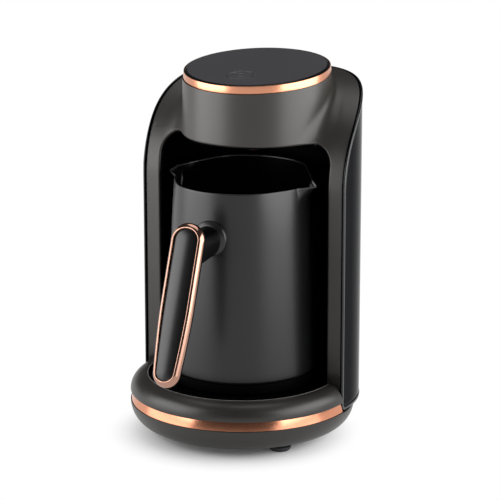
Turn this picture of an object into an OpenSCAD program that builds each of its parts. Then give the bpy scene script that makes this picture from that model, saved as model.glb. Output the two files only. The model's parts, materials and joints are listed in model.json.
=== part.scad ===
// Electric coffee maker with a lift-out two-spout pot.
// The round base carries a column with an arched bay; a round head with a tilted
// control panel closes the bay from above. The pot stands in a shallow seat and
// takes its current from a low contact boss in the seat's middle.

/* [Base] */
// Largest radius of the base
base_r = 76.5; // [76.2:0.1:77.5]
// Height of the base's rim above the table
deck_z = 38.5; // [37:0.5:40]
// Radius that rounds the deck from its side up to its rim
deck_round = 11; // [10:0.5:12]
// Radius of the curve under the base
belly_round = 15; // [14:0.5:16]
// Height of the base's flat underside above the table
belly_z = 4.8; // [4.4:0.2:5]
// Radius of the shallow seat that the pot stands in
seat_r = 64.4; // [64.2:0.1:64.8]
// Depth of the seat below the rim
seat_depth = 3; // [2.5:0.5:3]
// Height at which the metal band starts
band_z = 20.7; // [20.7:0.1:21.2]
// Height of the metal band
band_h = 6.5; // [5:0.5:6.5]
// How far the band lies below the base's surface
band_sunk = 0.9; // [0.5:0.1:1]
// Diameter of a rubber foot
foot_d = 15; // [13:0.5:16]
// Half the distance between feet, side to side
foot_x = 45.4; // [42:0.2:47]
// Half the distance between feet, front to back
foot_y = 35; // [34:0.5:38]

/* [Column] */
// Outer half width of the rear shell
shell_r = 75.5; // [75.3:0.1:75.7]
// Length of the shell's straight sides, before its round back starts
shell_run = 11.5; // [11:0.5:13]
// Height at which the rear shell starts
shell_z = 20; // [20:0.1:20.4]
// How far the shell's edge stands out round the fascia
lip_proud = 1; // [0.6:0.1:1.2]
// Thickness of the moulded walls
wall = 2.2; // [2:0.1:2.4]
// Height at which the front starts to curve back
shoulder_z = 170; // [165:1:175]
// How far back the shoulder's curve reaches
shoulder_reach = 80; // [78:1:82]
// How far the shoulder's curve rises
shoulder_rise = 69.5; // [69:0.5:70.5]

/* [Bay] */
// Half the clear width between the legs
bay_half = 63; // [62.8:0.1:63.2]
// Radius of the bay's upper corners
bay_corner = 15; // [12:1:18]
// Height of the bay's top
bay_top = 200.7; // [200:0.1:202]

/* [Head] */
// Radius of the head at its lower edge
head_r_low = 50.5; // [50:0.1:51]
// Radius of the head at its ring
head_r = 49.9; // [49.6:0.1:50]
// Distance of the head's axis behind the pot's axis
head_back = 22.4; // [22:0.1:23]
// Height of the ring's top at the head's axis
head_z = 245.9; // [245:0.1:247]
// Slope of the head's top, lower at the front
head_tilt = 5.5; // [5:0.1:6]
// Height of the metal ring
ring_h = 5.1; // [4.5:0.1:5.5]
// Radius of the round start key
key_r = 8.75; // [8:0.05:9.5]
// Distance of the start key ahead of the panel's centre
key_ahead = 25.2; // [24:0.1:27]
// How far the start key travels
key_travel = 1; // [0.6:0.1:1]

/* [Pot] */
// Outer radius of the pot's metal body at its foot
pot_r_foot = 50.3; // [49.9:0.1:50.5]
// Outer radius of the pot's metal body at its rim
pot_r_rim = 46.6; // [46:0.1:47]
// Height at which the metal body starts
pot_z = 44; // [44:0.1:44.5]
// Height of the rim
rim_z = 173.5; // [168:0.5:174]
// Height of the rim's back part above its front
rim_rise = 6.5; // [3:0.5:7]
// Height of the spout tips above the rim
spout_up = 0.5; // [0.5:0.1:1.5]
// Distance of a spout's tip from the pot's axis
spout_reach = 56; // [54:0.5:56]
// Thickness of the pot's metal
pot_wall = 1; // [0.8:0.1:1.4]

/* [Handle] */
// Distance of the bar's upper end ahead of the pot's axis
bar_ahead = 77.8; // [77:0.1:80]
// Height of the bar's upper end
bar_z = 161; // [159:0.5:163]
// Length of the bar
bar_l = 107.4; // [104:0.2:108]
// Lean of the bar away from the pot
bar_lean = 20.5; // [19:0.5:21]
// Width of the bar's upper part
bar_w_top = 23.4; // [22:0.2:24]
// Length over which the bar keeps that width
bar_even = 68; // [60:1:75]
// Width of the bar at its lower end
bar_w_low = 19; // [18:0.5:20]
// Full thickness of the bar
bar_t = 8.6; // [8.4:0.1:9]
// Depth of the metal trim that runs round the bar
trim_depth = 6.2; // [6:0.1:6.4]
// Width of the trim, seen from the front
trim_w = 2; // [1.6:0.1:2.4]
// Height of the neck between the bar and the pot
neck_z = 143; // [142:0.5:144]
// Half the neck's width, and the radius of its round top and bottom
neck_r = 9; // [8:0.5:9.5]
// How much taller than wide the neck is
neck_drop = 3; // [2:0.5:3]
// Radius of the flange on the pot
flange_r = 12; // [11:0.5:13]

/* [Hidden] */
$fn = 96;

gap = 0.1;                  // space between pieces that fit into each other
far = 200;                  // longer than anything that is cut
gunmetal = [0.29, 0.28, 0.27];
gloss_black = [0.10, 0.11, 0.13];
satin_black = [0.13, 0.13, 0.14];
copper = [0.80, 0.48, 0.32];
rose_gold = [0.80, 0.58, 0.49];
brass = [0.80, 0.66, 0.32];
steel = [0.72, 0.72, 0.74];
board_green = [0.10, 0.32, 0.20];

// base
belly_axis_r = base_r - belly_round;        // where the curve under the base is centred
belly_axis_z = belly_z + belly_round;
dome_axis_r = base_r - deck_round;          // where the deck's round is centred
dome_axis_z = deck_z - deck_round;
tray_top = band_z - 0.2;
seat_z = deck_z - seat_depth;
cover_r = shell_r - wall;                   // inside of the rear shell
inner_r = cover_r - 0.4;                    // what stands inside the rear shell
cover_front = -lip_proud - 0.2;             // where the front half of the base ends
hollow_r = inner_r - wall;
ledge_z = 33;                               // top of the deck's rear part, under the column
foot_h = 3.4;
foot_neck_r = 5.9;
socket_top = 9.6;                           // top of the socket that takes foot and screw head
post_r = 4;
screw_hole_r = 1.8;                         // clearance hole for a 3 mm screw
screw_shank_r = 1.5;
pilot_r = 1.55;                             // hole that takes the screw's shank
foot_screw_l = 14;
vent_w = 3;                                 // air slots under the base
vent_l = 24;
vent_pitch = 7;
band_t = 1.1;
dome_wall = 3.4;                            // wall behind the deck's round and the band's groove
shell_screw_x = 20;                         // screws that hold the rear shell to the deck
shell_post_l = 14;
shell_screw_z = 27;
shell_screw_l = 12;

// contact boss in the seat
boss_r = 15;
boss_stem_r = 12;
boss_h = 2.8;
boss_stem_l = 8;
contact_radii = [0, 6, 11];
contact_r = 1;
contact_up = 0.5;                           // how far the contacts stand out of the boss
boss_bevel = 0.6;
nut_r = 16;
nut_h = 4.8;

// column
fascia_r = cover_r - 0.2;
flange_depth = 10;                          // depth of the rim round the bay
liner_r = seat_r - 0.2;
liner_wall = 1.6;
liner_front = flange_depth + 1.5;
ceiling_z = bay_top + 0.2;
ceiling_h = 2.2;
curve_steps = 28;

// power board behind the liner
board_back = 66;
board_t = 1.6;
board_low = 62;
board_high = 150;
board_half = 28;
board_hole_x = 24;
board_hole_z = [68, 142];
board_screw_r = 1.25;
board_face = board_back + board_t;
pillar_r = 3.4;                             // pillars on the liner that carry the board
pillar_l = 16;
relay_at = [-20, board_face, 108];
relay_size = [17, 12, 20];
capacitor_at = [9, board_face, 118];
capacitor_r = 7;
capacitor_l = 11;
terminal_z = 72;
terminal_size = [24, 9, 10];

// cord gland at the back
gland_z = 44;
gland_bore_r = 3.6;
gland_r = 5.9;
gland_flange_r = 8;
gland_proud = 1.5;
gland_l = 12;

// sensor under the head
sensor_back = 17.6;
sensor_tip_z = 190.4;
sensor_tip_r = 4.4;
sensor_cone_z = 197;                        // where the sensor starts to narrow
sensor_r = 6;
sensor_flange_t = 2;
lens_r = 2.95;
sensor_board_w = 18;
sensor_board_d = 14;

// head
head_wall = 2.4;
ring_rim = 1.3;
panel_r = head_r - ring_rim - gap;
panel_t = 2.2;                              // how deep the panel sits in the ring
panel_proud = 0.6;
panel_bevel = 0.8;
key_hole_r = key_r + 0.15;
key_flange_r = key_r + 1.5;
key_flange_t = 1.05;
key_play = 0.15;                            // between the key's flange and the panel's underside
key_stem_r = 2.5;
control_z = -10.8;                          // underside of the control board, in the tilted frame
control_t = 1.6;
control_holes = [[-26, -30], [26, -30], [-26, 0], [26, 0]];
light_x = 14;                               // lamp behind the panel, beside the key
light_r = 1.5;
light_h = 4;
buzzer_x = 12;
buzzer_ahead = 10;
buzzer_r = 6;
buzzer_h = 5.5;
switch_w = 6;
switch_h = 1.9;
plunger_h = 0.2;
key_stem_z = control_z + control_t + switch_h + plunger_h + key_travel + gap;

// pot
collar_r = 49.5;
pocket_r = 30;
contact_plane = 39.6;                       // underside of the socket disc in the pot's foot
socket_t = 2;
spout_axis = 38;                            // where a spout's cone is centred
spout_r = spout_reach - spout_axis;
spout_h = 22;
spout_step = sqrt(1 + pow(spout_h / spout_r, 2));   // rise of the inner cone for each mm of wall
tip_z = rim_z + spout_up;
ramp_from = 17.5;                           // behind the spouts' line, where the rim starts to rise
ramp_to = 26;
heater_r = 40;
coil_r = 35.5;
coil_wire_r = 1.4;

// handle
bar_r_top = bar_w_top / 2;
bar_r_low = bar_w_low / 2;
bar_span = bar_l - bar_even - bar_r_low;    // from the even part's end to the lower end's centre
bar_slant = asin((bar_r_top - bar_r_low) / bar_span);
back_inset = 0.5;
insert_sunk = 0.4;
insert_t = 2;
flange_face = 50.8;
screw_r = 2;
screw_head_r = 3.2;
bar_front = bar_ahead + (bar_z - neck_z) * tan(bar_lean);   // bar's face at the neck's height
bar_back = bar_front - bar_t / cos(bar_lean);
screw_seat = bar_front - trim_depth / cos(bar_lean) + screw_head_r * tan(bar_lean) + gap;
screw_boss_r = screw_head_r + 0.8;

// the whole: the origin lies under the middle of the object's box
front_reach = bar_ahead + bar_l * sin(bar_lean);
rear_reach = shell_run + shell_r + gland_proud;
axis_y = (front_reach - rear_reach) / 2;

// ---------- shared shapes ----------

// puts children in the frame whose origin is on the table under the pot's axis
module on_pot_axis() translate([0, axis_y, 0]) children();

// puts children in the tilted frame of the head's top; its origin is the ring's top centre
module on_head() on_pot_axis() translate([0, head_back, head_z]) rotate([head_tilt, 0, 0]) children();

// puts children in the bar's frame: origin at its upper end, +Y up the bar, +Z out of its face
module on_bar() on_pot_axis() translate([0, -bar_ahead, bar_z]) rotate([90 - bar_lean, 0, 0]) children();

// everything behind the plane y = at
module behind(at) translate([-far, at, -far]) cube([2 * far, 2 * far, 3 * far]);

// a cylinder that starts at y = at and runs backwards
module rod_back(r, l, at) translate([0, at, 0]) rotate([-90, 0, 0]) cylinder(r = r, h = l);

// a flat-headed screw on the Z axis: head below z = 0, shank upwards
module screw(head, head_h, shank, l) difference() {
    union() {
        translate([0, 0, -head_h]) cylinder(r = head, h = head_h);
        cylinder(r = shank, h = l);
    }
    for (turn = [0, 90]) rotate([0, 0, turn])
        translate([-head * 0.6, -0.4, -head_h - 1]) cube([head * 1.2, 0.8, 1.8]);
}

module at_shell_screws() for (x = [-1, 1]) translate([x * shell_screw_x, 0, shell_screw_z]) children();

module at_feet() for (x = [-1, 1], y = [-1, 1]) translate([x * foot_x, y * foot_y, 0]) children();

// half section of the base below the band, as a solid
module tray_section(inset) intersection() {
    union() {
        square([belly_axis_r, tray_top + inset]);
        translate([belly_axis_r, belly_axis_z]) circle(r = belly_round - inset);
    }
    translate([0, belly_z + inset]) square([base_r - inset, tray_top - belly_z]);
}

// half section of the deck above the band, as a solid
module deck_section() {
    translate([0, band_z]) square([dome_axis_r, deck_z - band_z]);
    translate([0, band_z]) square([base_r, dome_axis_z - band_z]);
    intersection() {
        translate([dome_axis_r, dome_axis_z]) circle(r = deck_round);
        translate([0, band_z]) square([base_r, deck_z]);
    }
}

// half section of the space inside the deck's front
module deck_space() {
    translate([0, -1]) square([seat_r + wall, seat_z - wall + 1]);
    translate([0, -1]) square([base_r - dome_wall, dome_axis_z + 1]);
    intersection() {
        translate([dome_axis_r, dome_axis_z]) circle(r = deck_round - dome_wall);
        translate([seat_r + wall, 0]) square([base_r, deck_z]);
    }
}

// the deck's outer form; behind the cover's edge it steps in so that the shell passes over it
module deck_form() {
    difference() {
        rotate_extrude() deck_section();
        behind(cover_front);
    }
    intersection() {
        rotate_extrude() deck_section();
        cylinder(r = inner_r, h = far);
    }
}

// plan of the column: straight sides, round back
module column_plan(r) {
    translate([-r, -far / 2]) square([2 * r, shell_run + far / 2]);
    translate([0, shell_run]) circle(r = r);
}

// side view of the column: upright front, then a quarter ellipse up to the back
function column_side(grow) = concat(
    [[-grow, 0]],
    [for (i = [0 : curve_steps]) let (a = 90 * i / curve_steps)
        [shoulder_reach - (shoulder_reach + grow) * cos(a),
         shoulder_z + (shoulder_rise + grow) * sin(a)]],
    [[far, shoulder_z + shoulder_rise + grow], [far, 0]]);

// the part of that plan behind the pot's axis
module rear_plan(r) intersection() {
    column_plan(r);
    translate([-far, 0]) square([2 * far, far]);
}

module column_block(grow) rotate([90, 0, 90])
    linear_extrude(height = 2 * far, center = true) polygon(column_side(grow));

// front view of the bay, with round upper corners
module bay_view(grow) {
    top = bay_top + grow;
    half = bay_half + grow;
    r = bay_corner + grow;
    translate([-half, 0]) square([2 * half, top - r]);
    translate([-half + r, 0]) square([2 * (half - r), top]);
    for (side = [-1, 1]) translate([side * (half - r), top - r]) circle(r = r);
}

module bay_block(grow, from, to) translate([0, to, 0]) rotate([90, 0, 0])
    linear_extrude(height = to - from) bay_view(grow);

// outer or inner form of the head, before its top is cut
module head_form(inset) translate([0, head_back, bay_top])
    cylinder(r1 = head_r_low - inset, r2 = head_r - inset, h = head_z + 10 - bay_top);

// everything above the fascia's tilted top edge
module above_head() translate([0, head_back, head_z]) rotate([head_tilt, 0, 0])
    translate([-far, -far, -ring_h]) cube([2 * far, 2 * far, far]);

// outer form of the pot's metal body with its two spouts
module pot_form(inset, low, high) {
    taper = (pot_r_foot - pot_r_rim) / (rim_z - pot_z);
    r_low = pot_r_foot - taper * (low - pot_z) - inset;
    r_high = pot_r_foot - taper * (high - pot_z) - inset;
    translate([0, 0, low]) cylinder(r1 = r_low, r2 = r_high, h = high - low);
}

// the spouts: two cones that stand on their points; with an inset, the space inside them
module spouts(inset, extra) {
    cone_h = spout_h - inset * spout_step + extra;
    for (side = [-1, 1]) translate([side * spout_axis, 0, tip_z + extra - cone_h])
        cylinder(r1 = 0, r2 = spout_r * cone_h / spout_h, h = cone_h);
}

// everything above the rim: level in front and round the spouts, higher at the back
module above_rim() rotate([90, 0, 90]) translate([0, 0, -far]) linear_extrude(height = 2 * far) polygon([
    [-far, rim_z], [ramp_from, rim_z], [ramp_to, rim_z + rim_rise], [ramp_to, 2 * far], [-far, 2 * far]]);

// outline of the handle's bar: two round ends, level flanks above and drawn-in flanks below
function arc(c, r, from, to, steps) = [for (i = [0 : steps]) let (a = from + (to - from) * i / steps)
    [c[0] + r * cos(a), c[1] + r * sin(a)]];
function bar_outline(inset) = concat(
    arc([0, -bar_r_top], bar_r_top - inset, 0, 180, 16),
    arc([0, -bar_even], bar_r_top - inset, 180, 180 + bar_slant, 2),
    arc([0, bar_r_low - bar_l], bar_r_low - inset, 180 + bar_slant, 360 - bar_slant, 16),
    arc([0, -bar_even], bar_r_top - inset, 360 - bar_slant, 360, 2));

module bar_plate(inset, from, to) translate([0, 0, from])
    linear_extrude(height = to - from) polygon(bar_outline(inset));

// ---------- base ----------

module feet() color(satin_black) on_pot_axis() at_feet() {
    cylinder(r1 = foot_d / 2 - 0.8, r2 = foot_d / 2, h = 0.8);
    translate([0, 0, 0.8]) cylinder(d = foot_d, h = foot_h - 0.8);
    translate([0, 0, foot_h]) cylinder(r = foot_neck_r, h = socket_top - foot_h - 2.6);
}

module base_tray() color(gunmetal) on_pot_axis() difference() {
    union() {
        difference() {
            rotate_extrude() tray_section(0);
            rotate_extrude() tray_section(wall);
            translate([0, 0, tray_top - wall]) cylinder(r = base_r - wall - 1, h = far);
        }
        at_feet() translate([0, 0, foot_h]) cylinder(r = foot_neck_r + 2, h = socket_top + wall - foot_h);
    }
    at_feet() translate([0, 0, foot_h - 1]) cylinder(r = foot_neck_r + gap, h = socket_top + 1 - foot_h);
    at_feet() cylinder(r = screw_hole_r, h = far);
    // the shell's edge passes over the back of the tray
    intersection() {
        behind(cover_front);
        translate([0, 0, shell_z - 0.2]) difference() {
            cylinder(r = far, h = far);
            translate([0, 0, -1]) cylinder(r = inner_r, h = far + 2);
        }
    }
    // air slots under the base
    for (i = [-3 : 3]) translate([i * vent_pitch - vent_w / 2, -vent_l / 2, 0])
        cube([vent_w, vent_l, belly_z + wall + 1]);
}

module base_screws() color(steel) on_pot_axis() at_feet()
    translate([0, 0, socket_top]) screw(3.2, 2.3, screw_shank_r, foot_screw_l);

module base_deck() color(gunmetal) on_pot_axis() difference() {
    union() {
        difference() {
            union() {
                deck_form();
                translate([0, 0, band_z]) linear_extrude(height = ledge_z - band_z) rear_plan(inner_r);
            }
            // space inside: the front half follows the round, the back half the column
            difference() {
                rotate_extrude() deck_space();
                behind(cover_front - wall);
            }
            translate([0, 0, -1]) cylinder(r = hollow_r - 1, h = ledge_z - wall + 1);
            translate([0, 0, -1]) cylinder(r = seat_r - wall, h = seat_z - wall + 1);
            translate([0, 0, band_z + wall]) linear_extrude(height = ledge_z - band_z - 2 * wall)
                rear_plan(hollow_r);
        }
        at_feet() translate([0, 0, socket_top + wall + 0.2])
            cylinder(r = post_r, h = seat_z - socket_top - 2 * wall + 0.5);
        at_shell_screws() rod_back(post_r - 1, shell_post_l, shell_run + inner_r - 4 - shell_post_l);
    }
    // seat and hole for the contact boss
    translate([0, 0, seat_z]) cylinder(r = seat_r, h = far);
    cylinder(r = boss_stem_r + gap, h = far);
    // groove for the band
    difference() {
        translate([0, 0, band_z - 1]) cylinder(r = far, h = band_h + 1 + gap);
        translate([0, 0, -1]) cylinder(r = base_r - band_sunk - band_t - gap, h = far);
        behind(cover_front);
    }
    at_feet() cylinder(r = pilot_r, h = socket_top + foot_screw_l + 2);
    at_shell_screws() rod_back(pilot_r, 40, 70);
}

module base_band() color(copper) on_pot_axis() difference() {
    translate([0, 0, band_z]) cylinder(r = base_r - band_sunk, h = band_h);
    translate([0, 0, band_z - 1]) cylinder(r = base_r - band_sunk - band_t, h = band_h + 2);
    behind(cover_front - gap);
}

// ---------- contact boss ----------

module coupler_boss() color(satin_black) on_pot_axis() difference() {
    union() {
        translate([0, 0, seat_z]) cylinder(r = boss_r, h = boss_h - boss_bevel);
        translate([0, 0, seat_z + boss_h - boss_bevel])
            cylinder(r1 = boss_r, r2 = boss_r - boss_bevel, h = boss_bevel);
        translate([0, 0, seat_z - boss_stem_l]) cylinder(r = boss_stem_r, h = boss_stem_l);
    }
    for (r = contact_radii) translate([r, 0, 0]) cylinder(r = contact_r + 0.05, h = far);
}

module coupler_nut() color(satin_black) on_pot_axis() difference() {
    translate([0, 0, seat_z - wall - nut_h]) cylinder(r = nut_r, h = nut_h, $fn = 6);
    cylinder(r = boss_stem_r + 0.05, h = far);
}

module coupler_contacts() color(brass) on_pot_axis() for (r = contact_radii)
    translate([r, 0, seat_z - boss_stem_l - 3])
        cylinder(r = contact_r, h = boss_stem_l + 3 + boss_h + contact_up);

// ---------- column ----------

module front_fascia() color(gunmetal) on_pot_axis() difference() {
    union() {
        // sheet that follows the column's side view, inside the shell's plan
        difference() {
            intersection() {
                linear_extrude(height = far * 2) column_plan(fascia_r);
                column_block(0);
            }
            column_block(-wall);
        }
        head_form(0);
        // rim round the bay
        intersection() {
            bay_block(wall, 0, flange_depth);
            column_block(0);
        }
    }
    head_form(head_wall);
    bay_block(0, -far / 2, flange_depth + 1);
    above_head();
    // room for the plate under the head, which runs back to the liner
    intersection() {
        translate([0, 0, ceiling_z - 1]) cylinder(r = liner_r + gap, h = ceiling_h + 1 + gap);
        behind(liner_front + 1 - gap);
    }
    // the legs stand on the deck
    deck_form();
    translate([-far, -far, -1]) cube([2 * far, 2 * far, ledge_z + 1]);
}

module rear_shell() color(gloss_black) on_pot_axis() difference() {
    intersection() {
        translate([0, 0, shell_z]) linear_extrude(height = far * 2) column_plan(shell_r);
        column_block(lip_proud);
    }
    linear_extrude(height = far * 2) column_plan(cover_r);
    translate([0, 0, gland_z]) rod_back(gland_r + gap, far, 0);
    at_shell_screws() rod_back(screw_hole_r, far, 0);
}

module shell_screws() color(steel) on_pot_axis() at_shell_screws()
    translate([0, shell_run + sqrt(pow(shell_r, 2) - pow(shell_screw_x, 2)) + 0.9, 0])
        rotate([90, 0, 0]) screw(3, 1.4, screw_shank_r, shell_screw_l);

module bay_liner() color(satin_black) on_pot_axis() {
    difference() {
        translate([0, 0, seat_z]) cylinder(r = liner_r, h = ceiling_z - seat_z);
        translate([0, 0, seat_z - 1]) cylinder(r = liner_r - liner_wall, h = far * 2);
        mirror([0, 1, 0]) behind(-liner_front);
    }
    // pillars for the power board
    for (x = [-board_hole_x, board_hole_x], z = board_hole_z) difference() {
        translate([x, 0, z]) rod_back(pillar_r, pillar_l, board_back - pillar_l);
        cylinder(r = liner_r - liner_wall / 2, h = far);
        translate([x, 0, z]) rod_back(board_screw_r + 0.05, far, 0);
    }
}

module head_underside() color(satin_black) on_pot_axis() translate([0, 0, ceiling_z])
    linear_extrude(height = ceiling_h) difference() {
        union() {
            translate([0, head_back]) circle(r = head_r_low - head_wall - gap);
            intersection() {
                circle(r = liner_r);
                translate([-far, liner_front + 1]) square([2 * far, far]);
            }
        }
        translate([0, sensor_back]) circle(r = sensor_r + gap);
    }

// ---------- sensor ----------

module overflow_sensor() color(satin_black) on_pot_axis() translate([0, sensor_back, 0]) difference() {
    union() {
        translate([0, 0, ceiling_z + ceiling_h]) cylinder(r = sensor_r + 2, h = sensor_flange_t);
        translate([0, 0, sensor_cone_z]) cylinder(r = sensor_r, h = ceiling_z + ceiling_h - sensor_cone_z);
        translate([0, 0, sensor_tip_z])
            cylinder(r1 = sensor_tip_r, r2 = sensor_r, h = sensor_cone_z - sensor_tip_z);
    }
    translate([0, 0, sensor_tip_z - 1]) cylinder(r = lens_r + 0.05, h = far);
}

module sensor_lens() color([0.35, 0.05, 0.08]) on_pot_axis() translate([0, sensor_back, sensor_tip_z]) {
    cylinder(r = lens_r, h = 3);
    intersection() {
        translate([0, 0, 2.6]) sphere(r = 3.9);
        translate([0, 0, -3]) cylinder(r = lens_r - 0.05, h = 3);
    }
}

module sensor_board() color(board_green) on_pot_axis()
    translate([0, sensor_back, ceiling_z + ceiling_h + sensor_flange_t])
        translate([-sensor_board_w / 2, -sensor_board_d / 2, 0]) cube([sensor_board_w, sensor_board_d, 1.2]);

// ---------- power board ----------

module power_board() color(board_green) on_pot_axis() difference() {
    translate([-board_half, board_back, board_low])
        cube([2 * board_half, board_t, board_high - board_low]);
    for (x = [-board_hole_x, board_hole_x], z = board_hole_z)
        translate([x, 0, z]) rod_back(board_screw_r + 0.35, far, 0);
}

module power_board_screws() color(steel) on_pot_axis()
    for (x = [-board_hole_x, board_hole_x], z = board_hole_z)
        translate([x, board_face, z]) rotate([90, 0, 0]) screw(2.6, 1.6, board_screw_r, 7);

module relay() color([0.16, 0.32, 0.62]) on_pot_axis()
    translate(relay_at) cube(relay_size);

module capacitor() color([0.12, 0.12, 0.30]) on_pot_axis() translate(capacitor_at) {
    rod_back(capacitor_r, capacitor_l, 0.5);
    rod_back(2, 1, 0);
}

module terminal_block() color([0.20, 0.45, 0.28]) on_pot_axis() difference() {
    translate([-terminal_size[0] / 2, board_face, terminal_z]) cube(terminal_size);
    for (x = [-1, 0, 1]) translate([x * terminal_size[0] / 3, board_face + terminal_size[1] / 2, board_low])
        cylinder(r = 1.8, h = terminal_z + 6 - board_low);
}

// ---------- cord gland ----------

module cord_gland() color(satin_black) on_pot_axis() translate([0, 0, gland_z]) difference() {
    union() {
        rod_back(gland_r, gland_l, shell_run + shell_r + gland_proud - gland_l);
        difference() {
            rod_back(gland_flange_r, 4, shell_run + shell_r + gland_proud - 4);
            translate([0, shell_run, -far / 2]) cylinder(r = shell_r, h = far);
        }
    }
    rod_back(gland_bore_r, far, 0);
}

module gland_nut() color(satin_black) on_pot_axis() translate([0, 0, gland_z]) difference() {
    rod_back(8.5, 4, shell_run + cover_r - 5);
    rod_back(gland_r + 0.05, far, 0);
}

// ---------- head ----------

module head_ring() color(copper) on_head() rotate_extrude() polygon([
    [head_r - 3.4, -ring_h], [head_r, -ring_h], [head_r, -0.3], [head_r - 0.3, 0],
    [head_r - ring_rim, 0], [head_r - ring_rim, -panel_t], [head_r - 3.4, -panel_t]]);

module control_panel() color([0.16, 0.16, 0.18]) on_head() difference() {
    union() {
        rotate_extrude() polygon([
            [0, -panel_t], [panel_r, -panel_t], [panel_r, panel_proud - panel_bevel],
            [panel_r - panel_bevel, panel_proud], [0, panel_proud]]);
        for (at = control_holes) translate([at[0], at[1], control_z + control_t])
            cylinder(r = 2.5, h = -panel_t - control_z - control_t);
    }
    translate([0, -key_ahead, -far / 2]) cylinder(r = key_hole_r, h = far);
    for (at = control_holes) translate([at[0], at[1], control_z - 1]) cylinder(r = 1.05, h = 7);
}

module start_key() color([0.16, 0.16, 0.18]) on_head() translate([0, -key_ahead, 0]) {
    flange_z = -panel_t - key_play - key_flange_t;
    translate([0, 0, flange_z]) cylinder(r = key_r, h = panel_proud - flange_z);
    translate([0, 0, flange_z]) cylinder(r = key_flange_r, h = key_flange_t);
    translate([0, 0, key_stem_z]) cylinder(r = key_stem_r, h = flange_z - key_stem_z);
}

module control_board() color(board_green) on_head() difference() {
    translate([-32, -36, control_z]) cube([64, 44, control_t]);
    for (at = control_holes) translate([at[0], at[1], control_z - 1]) cylinder(r = 1.2, h = 4);
}

module control_board_screws() color(steel) on_head() for (at = control_holes)
    translate([at[0], at[1], control_z]) screw(2.2, 1.4, 1, 6);

module key_switch() color([0.22, 0.22, 0.22]) on_head() translate([0, -key_ahead, control_z + control_t]) {
    translate([-switch_w / 2, -switch_w / 2, 0]) cube([switch_w, switch_w, switch_h]);
    translate([0, 0, switch_h]) cylinder(r = 1.6, h = plunger_h);
}

module status_light() color([0.85, 0.90, 0.95])
    on_head() translate([-light_x, -key_ahead, control_z + control_t]) {
        cylinder(r = light_r, h = light_h);
        translate([0, 0, light_h]) sphere(r = light_r);
    }

module buzzer() color([0.08, 0.08, 0.08])
    on_head() translate([buzzer_x, -buzzer_ahead, control_z + control_t]) difference() {
        cylinder(r = buzzer_r, h = buzzer_h);
        translate([0, 0, buzzer_h - 1]) cylinder(r = 1.2, h = 2);
    }

// ---------- pot ----------

module pot_body() color(gunmetal) on_pot_axis() difference() {
    union() {
        difference() {
            pot_form(0, pot_z, rim_z + rim_rise);
            above_rim();
        }
        spouts(0, 0);
    }
    pot_form(pot_wall, pot_z + 1.5, rim_z + 20);
    spouts(pot_wall, 1);
}

module pot_collar() color(satin_black) on_pot_axis() rotate_extrude() polygon([
    [pocket_r, seat_z + gap], [collar_r - 2, seat_z + gap], [collar_r, seat_z + 2.2], [collar_r, pot_z],
    [collar_r - 2.5, pot_z], [collar_r - 2.5, seat_z + 2.5], [pocket_r + 2, seat_z + 2.5],
    [pocket_r + 2, contact_plane + socket_t], [pocket_r, contact_plane + socket_t]]);

module pot_socket() color(satin_black) on_pot_axis() translate([0, 0, contact_plane])
    cylinder(r = pocket_r - gap, h = socket_t);

module pot_contacts() color(brass) on_pot_axis() translate([0, 0, contact_plane - 0.5]) {
    cylinder(r = 2, h = 0.5);
    for (r = [contact_radii[1], contact_radii[2]]) difference() {
        cylinder(r = r + 1.4, h = 0.5);
        translate([0, 0, -1]) cylinder(r = r - 1.4, h = 2);
    }
}

module heating_plate() color(steel) on_pot_axis() translate([0, 0, pot_z - 1.7])
    cylinder(r = heater_r, h = 1.6);

module heating_coil() color([0.55, 0.55, 0.56]) on_pot_axis() translate([0, 0, pot_z - 1.7 - coil_wire_r])
    rotate([0, 0, 16]) rotate_extrude(angle = 328) translate([coil_r, 0]) circle(r = coil_wire_r);

module thermal_cutout() color([0.85, 0.82, 0.74]) on_pot_axis()
    translate([38.6, 0, seat_z + 2.5]) cylinder(r = 4.5, h = pot_z - 1.7 - seat_z - 2.5);

// ---------- handle ----------

module handle_flange() color(gunmetal) on_pot_axis() difference() {
    translate([0, 0, neck_z]) rod_back(flange_r, flange_face - 40, -flange_face);
    pot_form(0, pot_z, rim_z);
    translate([0, 0, neck_z]) rod_back(screw_r + 0.05, far, -flange_face - 1);
}

module handle_neck() color(satin_black) difference() {
    on_pot_axis() translate([0, -flange_face, neck_z]) rotate([90, 0, 0]) linear_extrude(height = 40)
        polygon(concat(arc([0, 0], neck_r, 0, 180, 24), arc([0, -neck_drop], neck_r, 180, 360, 24)));
    on_bar() translate([-far, -far, -bar_t]) cube([2 * far, 2 * far, far]);
    on_pot_axis() translate([0, 0, neck_z]) rod_back(screw_r + 0.05, far, -far / 2);
}

module handle_back() color(satin_black) difference() {
    union() {
        on_bar() bar_plate(back_inset, -bar_t, -trim_depth);
        on_pot_axis() translate([0, 0, neck_z])
            rod_back(screw_boss_r, screw_seat - bar_back - screw_boss_r * tan(bar_lean), -screw_seat);
    }
    on_pot_axis() translate([0, 0, neck_z]) rod_back(screw_r + 0.05, far, -far / 2);
}

module handle_trim() color(rose_gold) on_bar() difference() {
    bar_plate(0, -trim_depth, 0);
    bar_plate(trim_w, -trim_depth - 1, 1);
}

module handle_insert() color(satin_black) on_bar() difference() {
    bar_plate(trim_w + gap, -trim_depth, -insert_sunk);
    bar_plate(trim_w + 1.6, -trim_depth - 1, -insert_sunk - insert_t);
}

module handle_screw() color(steel) on_pot_axis() translate([0, -screw_seat, neck_z])
    rotate([-90, 0, 0]) screw(screw_head_r, 1.6, screw_r, screw_seat - flange_face + 2.4);

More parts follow.
